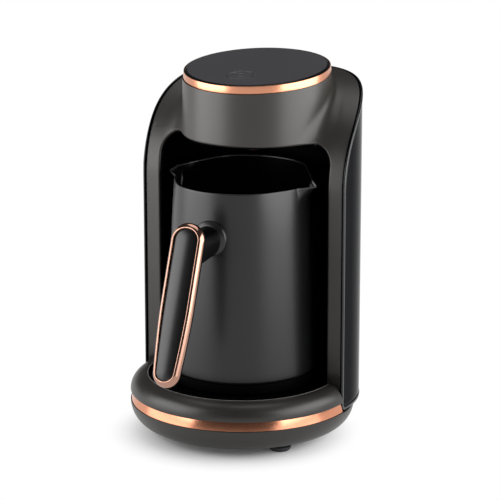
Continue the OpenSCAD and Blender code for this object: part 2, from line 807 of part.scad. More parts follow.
feet();
base_tray();
base_screws();
base_deck();
base_band();
coupler_boss();
coupler_nut();
coupler_contacts();
front_fascia();
rear_shell();
shell_screws();
bay_liner();
head_underside();
overflow_sensor();
sensor_lens();
sensor_board();
power_board();
power_board_screws();
relay();
capacitor();
terminal_block();
cord_gland();
gland_nut();
head_ring();
control_panel();
start_key();
control_board();
control_board_screws();
key_switch();
status_light();
buzzer();
pot_body();
pot_collar();
pot_socket();
pot_contacts();
heating_plate();
heating_coil();
thermal_cutout();
handle_flange();
handle_neck();
handle_back();
handle_trim();
handle_insert();
handle_screw();
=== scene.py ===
import json
import bmesh
import bpy
import numpy as np
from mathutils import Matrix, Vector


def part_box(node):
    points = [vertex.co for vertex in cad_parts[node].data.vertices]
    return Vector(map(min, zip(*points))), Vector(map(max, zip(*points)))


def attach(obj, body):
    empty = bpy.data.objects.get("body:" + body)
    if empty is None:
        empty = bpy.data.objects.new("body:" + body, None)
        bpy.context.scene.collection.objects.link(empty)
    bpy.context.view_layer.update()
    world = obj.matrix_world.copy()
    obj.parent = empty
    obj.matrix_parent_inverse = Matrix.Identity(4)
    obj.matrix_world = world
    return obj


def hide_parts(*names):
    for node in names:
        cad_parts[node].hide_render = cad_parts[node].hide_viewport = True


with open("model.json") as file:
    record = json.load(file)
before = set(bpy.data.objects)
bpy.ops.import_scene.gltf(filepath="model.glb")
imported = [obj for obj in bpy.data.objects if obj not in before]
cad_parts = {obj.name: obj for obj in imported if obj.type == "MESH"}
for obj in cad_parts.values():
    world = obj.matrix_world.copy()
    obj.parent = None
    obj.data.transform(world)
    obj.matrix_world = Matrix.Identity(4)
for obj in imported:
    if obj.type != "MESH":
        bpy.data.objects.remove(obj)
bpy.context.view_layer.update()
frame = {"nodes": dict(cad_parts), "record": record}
print("frame loaded:", len(frame["nodes"]), "nodes")

# lengths here are millimetres, measured from the table under the pot's axis
mm = 0.001
axisY = (np.array(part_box("pot_collar")) / mm)[:, 1].mean()         # the pot's axis in the frame


def gridPart(grid, wrapRows=False, wrapCols=False):
    # points and quads of a grid: the quad at (i, j) joins (i, j) to (i, j+1), (i+1, j+1) and (i+1, j)
    rows, cols = grid.shape[:2]
    i = np.arange(rows if wrapRows else rows - 1)
    j = np.arange(cols if wrapCols else cols - 1)
    i, j = (a.ravel() for a in np.meshgrid(i, j, indexing="ij"))
    iNext, jNext = (i + 1) % rows, (j + 1) % cols
    quads = np.stack([i * cols + j, i * cols + jNext, iNext * cols + jNext, iNext * cols + j], 1)
    return grid.reshape(-1, 3), quads


def join(*parts):
    # several (points, faces) in one, each one's faces counted on from the last one's points
    starts = np.cumsum([0] + [len(p) for p, f in parts[:-1]])
    return np.vstack([p for p, f in parts]), np.vstack([f + s for (p, f), s in zip(parts, starts)])


def mirrored(part):
    # the same shape on the other side of x = 0, its faces turned back so that they keep facing out
    points, faces = part
    return points * [-1, 1, 1], faces[:, ::-1]


def makePiece(name, part, body, material, stands=(), sharp=38, weld=1e-6, closed=True):
    # puts points and quads into a mesh with whole arrays, then welds seams and poles
    points, faces = part
    points = (points + [0, axisY, 0]) * mm
    mesh = bpy.data.meshes.new(name)
    mesh.vertices.add(len(points))
    mesh.vertices.foreach_set("co", points.astype(np.float32).ravel())
    mesh.loops.add(faces.size)
    mesh.loops.foreach_set("vertex_index", faces.astype(np.int32).ravel())
    mesh.polygons.add(len(faces))
    mesh.polygons.foreach_set("loop_start", np.arange(0, faces.size, 4, dtype=np.int32))
    mesh.update(calc_edges=True)
    work = bmesh.new()
    work.from_mesh(mesh)
    bmesh.ops.remove_doubles(work, verts=work.verts, dist=weld)
    if closed:
        bmesh.ops.recalc_face_normals(work, faces=work.faces)
    work.to_mesh(mesh)
    work.free()
    mesh.polygons.foreach_set("use_smooth", np.ones(len(mesh.polygons), bool))
    mesh.set_sharp_from_angle(angle=np.radians(sharp))
    piece = bpy.data.objects.new(name, mesh)
    bpy.context.scene.collection.objects.link(piece)
    mesh.materials.append(material)
    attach(piece, body)
    if stands:
        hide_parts(*stands)
    return piece


def addWall(piece, thick):
    # gives a sheet its wall, inwards, in millimetres
    wall = piece.modifiers.new("wall", "SOLIDIFY")
    wall.thickness = thick * mm
    wall.offset = -1


def atHeight(xy, z):
    # flat points lifted to a height, one for all of them or one each
    return np.hstack([xy, np.broadcast_to(z, (len(xy), 1))])


def arcPoints(centre, radius, fromDeg, toDeg, steps):
    # point = centre + radius * (cos a, sin a)
    a = np.radians(np.linspace(fromDeg, toDeg, steps + 1))
    return np.stack([centre[0] + radius * np.cos(a), centre[1] + radius * np.sin(a)], 1)


def roundCorners(corners, radii, steps=6):
    # each corner of a path turns into an arc that touches both its sides:
    # cut = radius * tan(half the turn), and the arc's centre lies on the corner's bisector
    corners = [np.array(c, float) for c in corners]
    out = [corners[0]]
    for before, at, after, radius in zip(corners, corners[1:], corners[2:], radii[1:-1]):
        a = (before - at) / np.linalg.norm(before - at)
        b = (after - at) / np.linalg.norm(after - at)
        turn = np.pi - np.arccos(np.clip(a @ b, -1, 1))
        if radius == 0 or turn < 0.02:
            out.append(at)
            continue
        cut = radius * np.tan(turn / 2)
        middle = at + (a + b) / np.linalg.norm(a + b) * radius / np.cos(turn / 2)
        s = np.linspace(0, 1, steps + 1)[:, None]
        start, end = at + a * cut - middle, at + b * cut - middle
        out.append(middle + (np.sin((1 - s) * turn) * start + np.sin(s * turn) * end) / np.sin(turn))
    return np.vstack(out + [corners[-1]])


def closedSection(start, corners, radii, steps):
    # a closed outline, from a point on one of its sides round all its corners
    return roundCorners([start, *corners, start], [0, *radii, 0], steps)[:-1]


def turned(profile, angles, centre=(0, 0)):
    # point = (centre x + r sin a, centre y - r cos a, z), so that angle 0 faces the front
    r, z = profile[:, 0], profile[:, 1]
    a = angles[:, None]
    return np.stack([centre[0] + r * np.sin(a), centre[1] - r * np.cos(a), z + 0 * a], 2)


def turnedPart(profile, centre=(0, 0), count=192):
    # a closed body of revolution: its profile runs from the axis to the axis, or all the way round
    return gridPart(turned(profile, np.linspace(0, 2 * np.pi, count, endpoint=False), centre), wrapRows=True,
                    wrapCols=bool(profile[0, 0] > 0))


def capEnds(grid):
    # closes the two ends of a carried section at their middles
    ends = np.broadcast_to(grid.mean(1, keepdims=True), grid.shape)
    return np.vstack([ends[:1], grid, ends[-1:]])


def fullTurn(*breaks):
    # angles round the axis, with two close together at each break, where the section changes
    edges = [b + s for b in breaks for s in (-1e-4, 1e-4)]
    return np.sort(np.hstack([np.linspace(0, 2 * np.pi, 193), edges]))


def setInputs(node, values):
    for socket, value in values.items():
        node.inputs[socket].default_value = value


def addNode(tree, kind, values={}, links={}):
    # a node with values on its own sockets and links from the outputs of others
    node = tree.nodes.new("ShaderNode" + kind)
    setInputs(node, values)
    for socket, source in links.items():
        tree.links.new(source, node.inputs[socket])
    return node


def newMaterial(name):
    material = bpy.data.materials.new(name)
    material.use_nodes = True
    return material, material.node_tree, material.node_tree.nodes["Principled BSDF"]


def addNoise(tree, scale, stretch=(1, 1, 1)):
    # noise on Object coordinates; scale is in waves for each metre
    place = addNode(tree, "TexCoord").outputs["Object"]
    turn = addNode(tree, "Mapping", {"Scale": stretch}, {"Vector": place}).outputs["Vector"]
    return addNode(tree, "TexNoise", {"Scale": scale, "Detail": 2}, {"Vector": turn}).outputs["Fac"]


def blendColours(tree, value, dark, light):
    # dark where the noise is under 0.3, light where it is over 0.7
    ramp = addNode(tree, "ValToRGB", links={"Fac": value})
    for end, place, colour in zip(ramp.color_ramp.elements, (0.3, 0.7), (dark, light)):
        end.position = place
        end.color = (*colour, 1)
    return ramp.outputs["Color"]


def surface(name, dark, light, rough, metallic=0.0, grain=2500, cloud=18, bump=0.01, stretch=(1, 1, 1),
            coat=0.0, coatRough=0.1, specular=0.5):
    # dark and light are the two ends of the colour's slow change over the surface; rough is its range;
    # grain and cloud are waves for each metre, bump is the grain's depth in millimetres
    material, tree, shader = newMaterial(name)
    clouds, fine = addNoise(tree, cloud), addNoise(tree, grain, stretch)
    ends = {"From Min": 0.3, "From Max": 0.7, "To Min": rough[0], "To Max": rough[1]}
    spread = addNode(tree, "MapRange", ends, {"Value": fine})
    tree.links.new(blendColours(tree, clouds, dark, light), shader.inputs["Base Color"])
    tree.links.new(spread.outputs["Result"], shader.inputs["Roughness"])
    setInputs(shader, {"Metallic": metallic, "Specular IOR Level": specular, "Coat Weight": coat,
                       "Coat Roughness": coatRough})
    if bump:
        relief = addNode(tree, "Bump", {"Distance": bump * mm, "Strength": 1.0}, {"Height": fine})
        tree.links.new(relief.outputs["Normal"], shader.inputs["Normal"])
    return material


gunmetal = surface("gunmetal", (0.033, 0.0295, 0.026), (0.038, 0.0345, 0.031), (0.36, 0.41),
                   grain=3200, bump=0.004)
# painted shade: the column's gunmetal made darker for the base's tray and deck, standing for the lower light
# that reaches the base
baseGunmetalPaintedShade = surface("base_gunmetal_painted_shade", (0.018, 0.0165, 0.0145), (0.022, 0.0205, 0.018), (0.34, 0.40),
                       grain=3200, bump=0.004)
# painted highlight: a light grey much paler than the deck, standing for the bright line where light catches
# the seat's edge
rimPaintedHighlight = surface("rim_painted_highlight", (0.24, 0.23, 0.215), (0.28, 0.27, 0.25), (0.30, 0.36), grain=3200, bump=0.002)
potGunmetal = surface("pot_gunmetal", (0.0045, 0.0045, 0.005), (0.006, 0.006, 0.0065), (0.32, 0.37),
                      grain=3600, bump=0.004)
coatBlack = surface("pot_coat", (0.0008, 0.0008, 0.001), (0.0015, 0.0015, 0.002), (0.20, 0.26), grain=1500,
                    bump=0.002, specular=0.14)
coverBlack = surface("cover_black", (0.0010, 0.0012, 0.0022), (0.0022, 0.0025, 0.0040), (0.12, 0.17),
                     grain=900, bump=0.002, specular=0.014)
lipBlack = surface("lip_black", (0.0012, 0.0014, 0.0025), (0.0022, 0.0025, 0.0040), (0.18, 0.24), grain=900,
                   bump=0.002, specular=0.5)
neckBlack = surface("neck_black", (0.0006, 0.0006, 0.0008), (0.0012, 0.0012, 0.0015), (0.30, 0.38),
                    grain=1500, bump=0.003, specular=0.10)
glossBlack = surface("gloss_black", (0.004, 0.0045, 0.006), (0.006, 0.007, 0.009), (0.10, 0.16), grain=900,
                     bump=0.002, specular=0.15)
satinBlack = surface("satin_black", (0.010, 0.010, 0.011), (0.014, 0.014, 0.015), (0.42, 0.52), grain=2600,
                     bump=0.01)
# near black with hardly any gloss, partly painted shade: on the bay's liner and ceiling and the pot's foot
# ring it is their own black made darker as painted shade; on the seat and the bay's return it is painted
# shade alone
blackAndPaintedShade = surface("black_and_painted_shade", (0.0006, 0.0006, 0.0006), (0.001, 0.001, 0.001), (0.45, 0.60), grain=2200,
                    bump=0.008, specular=0.02)
slateGlass = surface("slate_glass", (0.084, 0.083, 0.094), (0.094, 0.093, 0.106), (0.16, 0.20), grain=700,
                     bump=0.0, coat=0.3, coatRough=0.08)
copper = surface("polished_copper", (0.60, 0.265, 0.155), (0.64, 0.285, 0.17), (0.22, 0.27), metallic=1.0,
                 grain=2600, bump=0.0015, stretch=(1, 1, 14))
bandCopper = surface("band_copper", (0.66, 0.275, 0.16), (0.70, 0.295, 0.175), (0.18, 0.22), metallic=1.0,
                     grain=2600, bump=0.0015, stretch=(1, 1, 14))
roseGold = surface("rose_gold", (0.41, 0.23, 0.17), (0.45, 0.255, 0.19), (0.14, 0.18), metallic=1.0,
                   grain=2600, bump=0.0012)
insertSatin = surface("insert_satin", (0.002, 0.002, 0.002), (0.004, 0.004, 0.004), (0.28, 0.33), grain=3000,
                      bump=0.004)
rubber = surface("rubber", (0.018, 0.019, 0.022), (0.024, 0.025, 0.028), (0.55, 0.70), grain=1800, bump=0.02)
lensRed = surface("sensor_glass", (0.05, 0.006, 0.010), (0.08, 0.010, 0.016), (0.05, 0.09), coat=0.6)

slotMaterials = {
    "gunmetal_satin": gunmetal, "pot_gunmetal": potGunmetal, "plastic_gloss": glossBlack,
    "plastic_black": satinBlack, "panel_slate": slateGlass, "copper_polished": copper, "rose_gold": roseGold,
    "insert_satin": insertSatin, "rubber_black": rubber, "sensor_glass": lensRed}
innerLooks = {     # finishes that only CAD nodes have, each named after its slot
    "screw_steel": ((0.50, 0.50, 0.51), (0.58, 0.58, 0.59), (0.25, 0.38), {"metallic": 1.0}),
    "contact_brass": ((0.72, 0.55, 0.24), (0.80, 0.62, 0.30), (0.22, 0.32), {"metallic": 1.0}),
    "circuit_board": ((0.015, 0.085, 0.045), (0.025, 0.120, 0.065), (0.35, 0.50), {"cloud": 120}),
    "relay_blue": ((0.04, 0.14, 0.42), (0.05, 0.17, 0.48), (0.35, 0.45), {}),
    "component_dark": ((0.015, 0.015, 0.02), (0.03, 0.03, 0.04), (0.40, 0.55), {}),
    "terminal_green": ((0.04, 0.22, 0.10), (0.05, 0.27, 0.13), (0.40, 0.50), {}),
    "heater_aluminium": ((0.60, 0.60, 0.61), (0.68, 0.68, 0.69), (0.35, 0.50), {"metallic": 1.0}),
    "heater_steel": ((0.32, 0.31, 0.30), (0.42, 0.41, 0.40), (0.35, 0.50), {"metallic": 1.0}),
    "ceramic_cream": ((0.66, 0.62, 0.52), (0.74, 0.70, 0.60), (0.50, 0.65), {}),
    "lamp_clear": ((0.62, 0.68, 0.74), (0.70, 0.76, 0.82), (0.08, 0.14), {"coat": 0.5})}
for slot, (dark, light, rough, more) in innerLooks.items():
    slotMaterials[slot] = surface(slot, dark, light, rough, **more)
print("materials ready")


baseLook = {
    "radius": 76.5, "bellyAcross": 13.5, "bellyUp": 15.5, "bellyZ": 4.9, "wall": 2.2,
    "trayTop": 20.5, "trayLip": 3.5, "lipRound": 0.05,
    "shellFoot": 19.8, "insideShell": 72.9, "coverFront": -1.2,     # kept clear of the rear shell
    "deckRound": 11, "deckZ": 38.5, "plateY": 30, "plateZ": 33, "bossHole": 12.1,
    "seatR": 64.4, "seatZ": 35.5, "rimRound": 0.5, "shadeSheetT": 0.06, "shadeSheetW": 0.4, "shadeSheetBelow": 0.35,
    "edgeW": 0.6, "edgeUp": 0.06, "edgeDown": 0.3,
    "bandR": 76.0, "bandZ": 20.7, "bandTop": 27.2, "bandT": 2.9, "bandCrown": 0.08, "bandLean": 1.9,
    "grooveDeep": 2.7, "skirtIn": 4}
coverTurn = np.arccos(-baseLook["coverFront"] / baseLook["radius"])     # angle of the rear shell's front edge


def buildTray():
    # the belly is a quarter ellipse: r = axis + across * cos f, z = top - up * sin f; behind the cover's
    # edge the height stops under it
    b = baseLook
    stretch = np.array([b["bellyAcross"], b["bellyUp"]])
    middle = np.array([b["radius"] - b["bellyAcross"], b["bellyZ"] + b["bellyUp"]])
    outside = middle + arcPoints((0, 0), 1, -90, 0, 28) * stretch
    lip = roundCorners([outside[-1], (b["radius"] - 0.02, b["trayTop"]),
                        (b["radius"] - b["trayLip"], b["trayTop"])], [0, b["lipRound"], 0], 2)
    inside = middle + arcPoints((0, 0), 1, -14, -90, 12) * (stretch - b["wall"])
    profile = np.vstack([[0, b["bellyZ"]], outside, lip[1:], inside, [0, b["bellyZ"] + b["wall"]]])
    grid = turned(profile, fullTurn(coverTurn, 2 * np.pi - coverTurn))
    under = (grid[..., 1] > b["coverFront"]) & (np.hypot(grid[..., 0], grid[..., 1]) > b["insideShell"])
    grid[..., 2] = np.where(under, np.minimum(grid[..., 2], b["shellFoot"]), grid[..., 2])
    makePiece("tray_skin", gridPart(grid), "base", baseGunmetalPaintedShade, ["base_tray"])


def buildDeck():
    # the deck's section: seat floor, seat wall, narrow rim, quarter round and groove for the band
    b = baseLook
    domeR, domeZ = b["radius"] - b["deckRound"], b["deckZ"] - b["deckRound"]
    seat = roundCorners([(b["bossHole"], b["seatZ"]), (b["seatR"], b["seatZ"]), (b["seatR"], b["deckZ"]),
                         (domeR + 0.01, b["deckZ"])], [0, 0.7, b["rimRound"], 0], 4)
    dome = arcPoints((domeR, domeZ), b["deckRound"], 90, 2, 26)
    grooveR, skirtR, under = b["bandR"] - b["grooveDeep"], b["bandR"] - b["skirtIn"], b["seatZ"] - b["wall"]
    foot = roundCorners([dome[-1], (b["radius"], b["bandTop"]), (grooveR, b["bandTop"]),
                         (grooveR, b["bandZ"]), (skirtR, b["bandZ"]), (skirtR, under),
                         (b["bossHole"], under)], [0, 0.35, 0.2, 0.2, 0.2, 1, 0], 3)
    grid = turned(np.vstack([seat, dome, foot[1:]]), fullTurn(coverTurn, 2 * np.pi - coverTurn))
    r = np.hypot(grid[..., 0], grid[..., 1])
    inShell = np.where(grid[..., 1] > b["coverFront"], np.minimum(1, b["insideShell"] / r), 1)
    grid[..., :2] *= inShell[..., None]
    # the plate behind the round deck that carries the column: the column's plan between two heights
    turn = np.linspace(0, np.pi, 97)
    x = b["insideShell"] * np.hstack([1, np.cos(turn), -1])
    y = np.hstack([0, shellLook["run"] + b["insideShell"] * np.sin(turn), 0])
    ring = np.stack([x, y], 1)
    middle = np.broadcast_to([0, b["plateY"]], ring.shape)
    rows = [(middle, b["bandZ"]), (ring, b["bandZ"]), (ring, b["plateZ"]), (middle, b["plateZ"])]
    plate = np.stack([atHeight(*row) for row in rows])
    parts = join(gridPart(grid, wrapCols=True), gridPart(plate, wrapCols=True))
    makePiece("deck_skin", parts, "base", baseGunmetalPaintedShade, ["base_deck"])


def buildSeat():
    # painted shade: a near-black sheet in the deck where the pot stands, its floor and low wall as one thin
    # turned sheet,
    # and a painted highlight: the thin light line that runs round its edge
    b = baseLook
    low, top = b["seatZ"] + 0.02, b["deckZ"] - b["shadeSheetBelow"]
    high, outR, inR = low + b["shadeSheetT"], b["seatR"] - 0.02, b["seatR"] - b["shadeSheetW"]
    profile = closedSection((b["bossHole"], low + b["shadeSheetT"] / 2),
                            [(b["bossHole"], low), (outR, low), (outR, top), (inR, top), (inR, high),
                             (b["bossHole"], high)], [0, 0.6, 0.15, 0.15, 0.6, 0], 4)
    makePiece("seat_painted_shade", turnedPart(profile), "base", blackAndPaintedShade)
    # painted highlight: a light strip along the seat's edge
    r, edgeR = b["seatR"], b["seatR"] + b["edgeW"]
    low, high = b["deckZ"] - b["edgeDown"], b["deckZ"] + b["edgeUp"]
    rim = closedSection((r, low), [(r, high), (edgeR, high), (edgeR, low)], [0.15, 0.15, 0.1], 4)
    half = np.arccos(-linerLook["front"] / b["seatR"])
    grid = capEnds(turned(rim, np.linspace(-half, half, 161)))
    makePiece("seat_edge_painted_highlight", gridPart(grid, wrapCols=True), "base", rimPaintedHighlight)


def buildBand():
    # a strip on the front half: its face leans in a little towards the top and is crowned,
    # r = radius - lean * (1 + t) / 2 - crown * t^2, t from -1 at the lower edge to 1 at the upper
    b = baseLook
    t = np.linspace(-1, 1, 15)
    faceR = b["bandR"] - b["bandLean"] * (1 + t) / 2 - b["bandCrown"] * t ** 2
    faceZ = b["bandZ"] + 0.05 + (b["bandTop"] - b["bandZ"] - 0.1) * (t + 1) / 2
    back = b["bandR"] - b["bandT"]
    profile = np.stack([np.hstack([faceR, back, back]), np.hstack([faceZ, faceZ[-1], faceZ[0]])], 1)
    edge = coverTurn - 0.002
    grid = capEnds(turned(profile, np.linspace(-edge, edge, 161)))
    makePiece("band_strip", gridPart(grid, wrapCols=True), "base", bandCopper,
              ["base_band"])


footLook = {"radius": 7.5, "edge": 2.4, "height": 3.4, "neck": 5.9, "neckTop": 7.0, "x": 45.4, "y": 35.0,
            "ring": 4.6, "ringWide": 0.6, "ringDeep": 0.5}


def buildFeet():
    # a rubber button: flat with a shallow ring below, rounded edge, neck up into the tray
    f = footLook
    profile = roundCorners([(0, 0), (f["ring"] - f["ringWide"], 0), (f["ring"], f["ringDeep"]),
                            (f["ring"] + f["ringWide"], 0), (f["radius"], 0), (f["radius"], f["height"]),
                            (f["neck"], f["height"]), (f["neck"], f["neckTop"]), (0, f["neckTop"])],
                           [0, 0.2, 0.2, 0.2, f["edge"], 0.6, 0.2, 0.3, 0], 7)
    spots = [(sx * f["x"], sy * f["y"]) for sx in (-1, 1) for sy in (-1, 1)]
    pads = join(*[turnedPart(profile, at, 64) for at in spots])
    makePiece("foot_pads", pads, "base", rubber, ["feet"])


shellLook = {"radius": 75.5, "run": 11.5, "foot": 20.0, "proud": 1.0, "thick": 2.0, "footRound": 5.0,
             "lipT": 1.6, "lipDepth": 2.4, "insideLip": 0.35}
columnLook = {"shoulderZ": 170.0, "reach": 80.0, "rise": 69.2, "halfWidth": 73.4, "bayHalf": 63.0,
              "bayTop": 200.7, "bayCorner": 15.0, "footZ": 35.5, "edgeRound": 1.3, "returnY": 11.2,
              "thick": 1.7, "headBack": 22.4, "headLow": 50.5, "headTop": 49.9, "headHigh": 55.2,
              "blendLow": 15.0, "blendHigh": 4.0, "blendZ": (200, 224, 241), "freeFrom": 203, "freeOver": 9,
              "legLow": 160, "legHigh": 163, "turnY": 9.5, "rimRound": 0.6, "rimDeep": 2.4,
              "cornerDeep": 2.2, "headDeep": 1.4, "jambT": 0.8}
headLook = {"topZ": 245.9, "tilt": 5.5}


def sideCurve():
    # side view of the column's front: upright, then a quarter ellipse, then level;
    # returns arc length, y and z, so that a place on the sheet is (x, arc length)
    c = columnLook
    phi = np.linspace(0, np.pi / 2, 1600)
    y = np.hstack([0, c["reach"] - c["reach"] * np.cos(phi), c["reach"] + 20])
    z = np.hstack([0, c["shoulderZ"] + c["rise"] * np.sin(phi), c["shoulderZ"] + c["rise"]])
    return np.hstack([0, np.cumsum(np.hypot(np.diff(y), np.diff(z)))]), y, z


def headRadius(z):
    # the head narrows evenly towards its top
    c = columnLook
    return c["headLow"] - (z - c["bayTop"]) * (c["headLow"] - c["headTop"]) / c["headHigh"]


def headDistance(p):
    # from the head's upright wall: distance from its axis - radius
    return np.hypot(p[..., 0], p[..., 1] - columnLook["headBack"]) - headRadius(p[..., 2])


def sheetDistance(p):
    # from the quarter ellipse: e = sqrt(u^2 + v^2) - 1, divided by the length of its gradient
    c = columnLook
    u = np.maximum(c["reach"] - p[..., 1], 1e-6) / c["reach"]
    v = np.maximum(p[..., 2] - c["shoulderZ"], 0) / c["rise"]
    size = np.hypot(u, v)
    slope = np.hypot(u / c["reach"], v / c["rise"]) / size
    return (size - 1) / slope


def bodyDistance(p):
    # head and shoulder joined by a soft valley: min(a, b) - h^2 k / 4, h = max(k - |a - b|, 0) / k
    c = columnLook
    a, b = headDistance(p), sheetDistance(p)
    widths = [c["blendLow"], (c["blendLow"] + c["blendHigh"]) / 2, c["blendHigh"]]
    k = np.interp(p[..., 2], c["blendZ"], widths)
    h = np.maximum(k - np.abs(a - b), 0) / k
    return np.minimum(a, b) - h * h * k / 4


def gradient(p, step=0.02):
    # central differences: (f(p + step) - f(p - step)) / (2 step) along each axis
    slopes = [(bodyDistance(p + step * e) - bodyDistance(p - step * e)) / (2 * step) for e in np.eye(3)]
    return np.stack(slopes, -1)


def unit(v):
    # v / its length, for each row
    return v / np.linalg.norm(v, axis=-1, keepdims=True)


def settle(p):
    # Newton steps onto the joined surface; low down the points keep their height, so the bay's edge stays
    c = columnLook
    for _ in range(8):
        g = gradient(p)
        way = g.copy()
        way[..., 2] *= np.clip((p[..., 2] - c["freeFrom"]) / c["freeOver"], 0, 1)
        p = p - way * (bodyDistance(p) / np.maximum((way * g).sum(-1), 0.05))[..., None]
    return p


def buildFascia():
    # half of a sheet between the bay's edge and the outer edge, by (x, arc length), plus the head's wall
    c, run = columnLook, shellLook["run"]
    length, sideY, sideZ = sideCurve()
    r = c["edgeRound"]
    half, corner, top = c["bayHalf"] + r, c["bayCorner"] + r, c["bayTop"] + r
    cornerX, cornerZ = half - corner, top - corner
    zToS = lambda z: np.interp(z, sideZ[:-1], length[:-1])
    yToS = lambda y: np.interp(y, sideY[1:], length[1:])

    # where the head's wall meets the shoulder: y = z's place on the side curve, by repeated substitution
    meetY = np.interp(top, sideZ[:-1], sideY[:-1])
    start = np.arccos((c["headBack"] - meetY) / headRadius(top))
    theta = np.linspace(start, np.pi, 90)
    meetZ = np.full_like(theta, top)
    for _ in range(6):
        y = c["headBack"] - headRadius(meetZ) * np.cos(theta)
        meetZ = np.interp(y, sideY[1:], sideZ[1:])
    meetZ[0] = top
    meetX = headRadius(meetZ) * np.sin(theta)
    meetX[-1] = 0

    # inner edge of the right half, as (x, arc length): leg, corner of the bay, foot of the head's wall
    legS = np.hstack([np.linspace(c["footZ"], c["legLow"], 12), np.linspace(c["legHigh"], zToS(cornerZ), 12)])
    turn = np.linspace(0, np.pi / 2, 27)[1:]
    inBay = len(legS) + len(turn)
    innerX = np.hstack([np.full_like(legS, half), cornerX + corner * np.cos(turn), meetX])
    innerS = np.hstack([legS, zToS(cornerZ + corner * np.sin(turn)), yToS(y)])

    # outer edge: up the side, then round the back
    outHalf = c["halfWidth"] - c["rimRound"]
    sideS = np.interp(turn, [0, np.pi / 2], [legS[-1] + 2, yToS(c["turnY"])])
    legOut = legS + np.interp(legS, [c["legLow"], legS[-1]], [0, 2])
    along = np.linspace(0, run - c["turnY"] + outHalf * np.pi / 2, len(theta))
    beta = np.maximum(along - (run - c["turnY"]), 0) / outHalf
    backX = outHalf * np.cos(beta)
    backY = np.where(beta > 0, run + outHalf * np.sin(beta), c["turnY"] + along)
    backX[-1] = 0
    outerX = np.hstack([np.full(inBay, outHalf), backX])
    outerS = np.hstack([legOut, sideS, yToS(backY)])

    w = np.linspace(0, 1, 34) ** 1.5
    gridX = innerX[:, None] * (1 - w) + outerX[:, None] * w
    gridS = innerS[:, None] * (1 - w) + outerS[:, None] * w
    sheet = np.stack([gridX, np.interp(gridS, length, sideY), np.interp(gridS, length, sideZ)], 2)
    sheet[inBay:, 0] = np.stack([meetX, y, meetZ], 1)
    sheet = settle(sheet)

    # wall of the head: from the bay's top or the valley up to the tilted ring, then in under the ring
    front = np.linspace(-start, start, 97)
    around = np.hstack([-theta[::-1][:-1], front[:-1], theta])
    lowZ = np.hstack([meetZ[::-1][:-1], np.full(96, top), meetZ])
    tilt = np.radians(headLook["tilt"])
    ringZ = headLook["topZ"] - topLook["ringH"] / np.cos(tilt)
    highZ = ringZ - headRadius(240) * np.cos(around) * np.tan(tilt)      # radius at about that height
    s = np.linspace(0, 1, 32) ** 1.3
    wallZ = lowZ[:, None] + (highZ - lowZ)[:, None] * s
    wallR, around = headRadius(wallZ), around[:, None]
    wall = np.stack([wallR * np.sin(around), c["headBack"] - wallR * np.cos(around), wallZ], 2)
    topRow = wall[:, -1:].copy()
    wall = settle(wall)
    inward = (topRow - [0, c["headBack"], 0]) * [1, 1, 0]
    wall = np.hstack([wall[:, :-1], topRow, topRow - inward * 0.05])

    # rounded edge and return along the bay: point = edge + r sin f * into - r (1 - cos f) * out, then back
    lip = np.vstack([sheet[:inBay, 0], wall[len(theta) - 1:len(theta) + 96, 0][::-1][:49]])
    into = np.vstack([np.tile([-1.0, 0, 0], (len(legS), 1)),
                      np.stack([-np.cos(turn), 0 * turn, -np.sin(turn)], 1), np.tile([0, 0, -1.0], (49, 1))])
    out = gradient(lip) * [1, 1, 0]
    out[:len(legS)] = [0, -1, 0]
    out = unit(out)
    f = np.linspace(0, np.pi / 2, 7)[None, :, None]
    edge = lip[:, None] + r * np.sin(f) * into[:, None] - r * (1 - np.cos(f)) * out[:, None]
    depth = np.maximum(c["returnY"] - r - lip[:, 1], c["cornerDeep"])
    depth[inBay:] = c["headDeep"]
    steps = np.linspace(0, 1, 4)[None, :, None]
    inward = edge[:, -1:] - out[:, None] * depth[:, None, None] * steps

    # rounded outer edge, then in towards the shell's inside
    rim, q = sheet[:, -1], c["rimRound"]
    rimOut = unit(gradient(rim))
    aside = unit(np.stack([rim[:, 0], np.maximum(rim[:, 1] - run, 0), 0 * rim[:, 0]], 1))
    rimEdge = rim[:, None] + q * np.sin(f) * aside[:, None] - q * (1 - np.cos(f)) * rimOut[:, None]
    rimStrip = np.hstack([rimEdge, rimEdge[:, -1:] - rimOut[:, None] * c["rimDeep"]])

    halfParts = join(gridPart(sheet), gridPart(edge), gridPart(rimStrip))
    parts = join(halfParts, mirrored(halfParts), gridPart(wall))
    addWall(makePiece("column_front", parts, "base", gunmetal, ["front_fascia"],
                      sharp=50, weld=3e-5), c["thick"])
    # the return into the bay, the fascia's own edge turned back, is a separate near-black sheet: painted
    # shade where the bay's sides fall dark
    jamb = gridPart(inward)
    addWall(makePiece("bay_return_painted_shade", join(jamb, mirrored(jamb)), "base", blackAndPaintedShade,
                      ["front_fascia"], weld=3e-5), c["jambT"])


def shellTop(y):
    # height of the rear shell's edge over a point of its plan: on the shoulder it lies level with the front
    c, proud = columnLook, shellLook["proud"]
    u = np.clip((c["reach"] - y) / (c["reach"] + proud), 0, 1)
    return c["shoulderZ"] + c["rise"] * np.sqrt(1 - u * u)


def shellPlan(s, radius):
    # plan of the shell by its length s from the right front edge: straight side, half circle, straight side;
    # returns x, y and the two parts of the way out
    start, run = -shellLook["proud"], shellLook["run"]
    side, arc = run - start, np.pi * radius
    a = np.clip((s - side) / radius, 0, np.pi)
    first, last = s < side, s > side + arc
    y = np.where(first, start + s, np.where(last, run - (s - side - arc), run + radius * np.sin(a)))
    return radius * np.cos(a), y, np.cos(a), np.where(first | last, 0, np.sin(a))


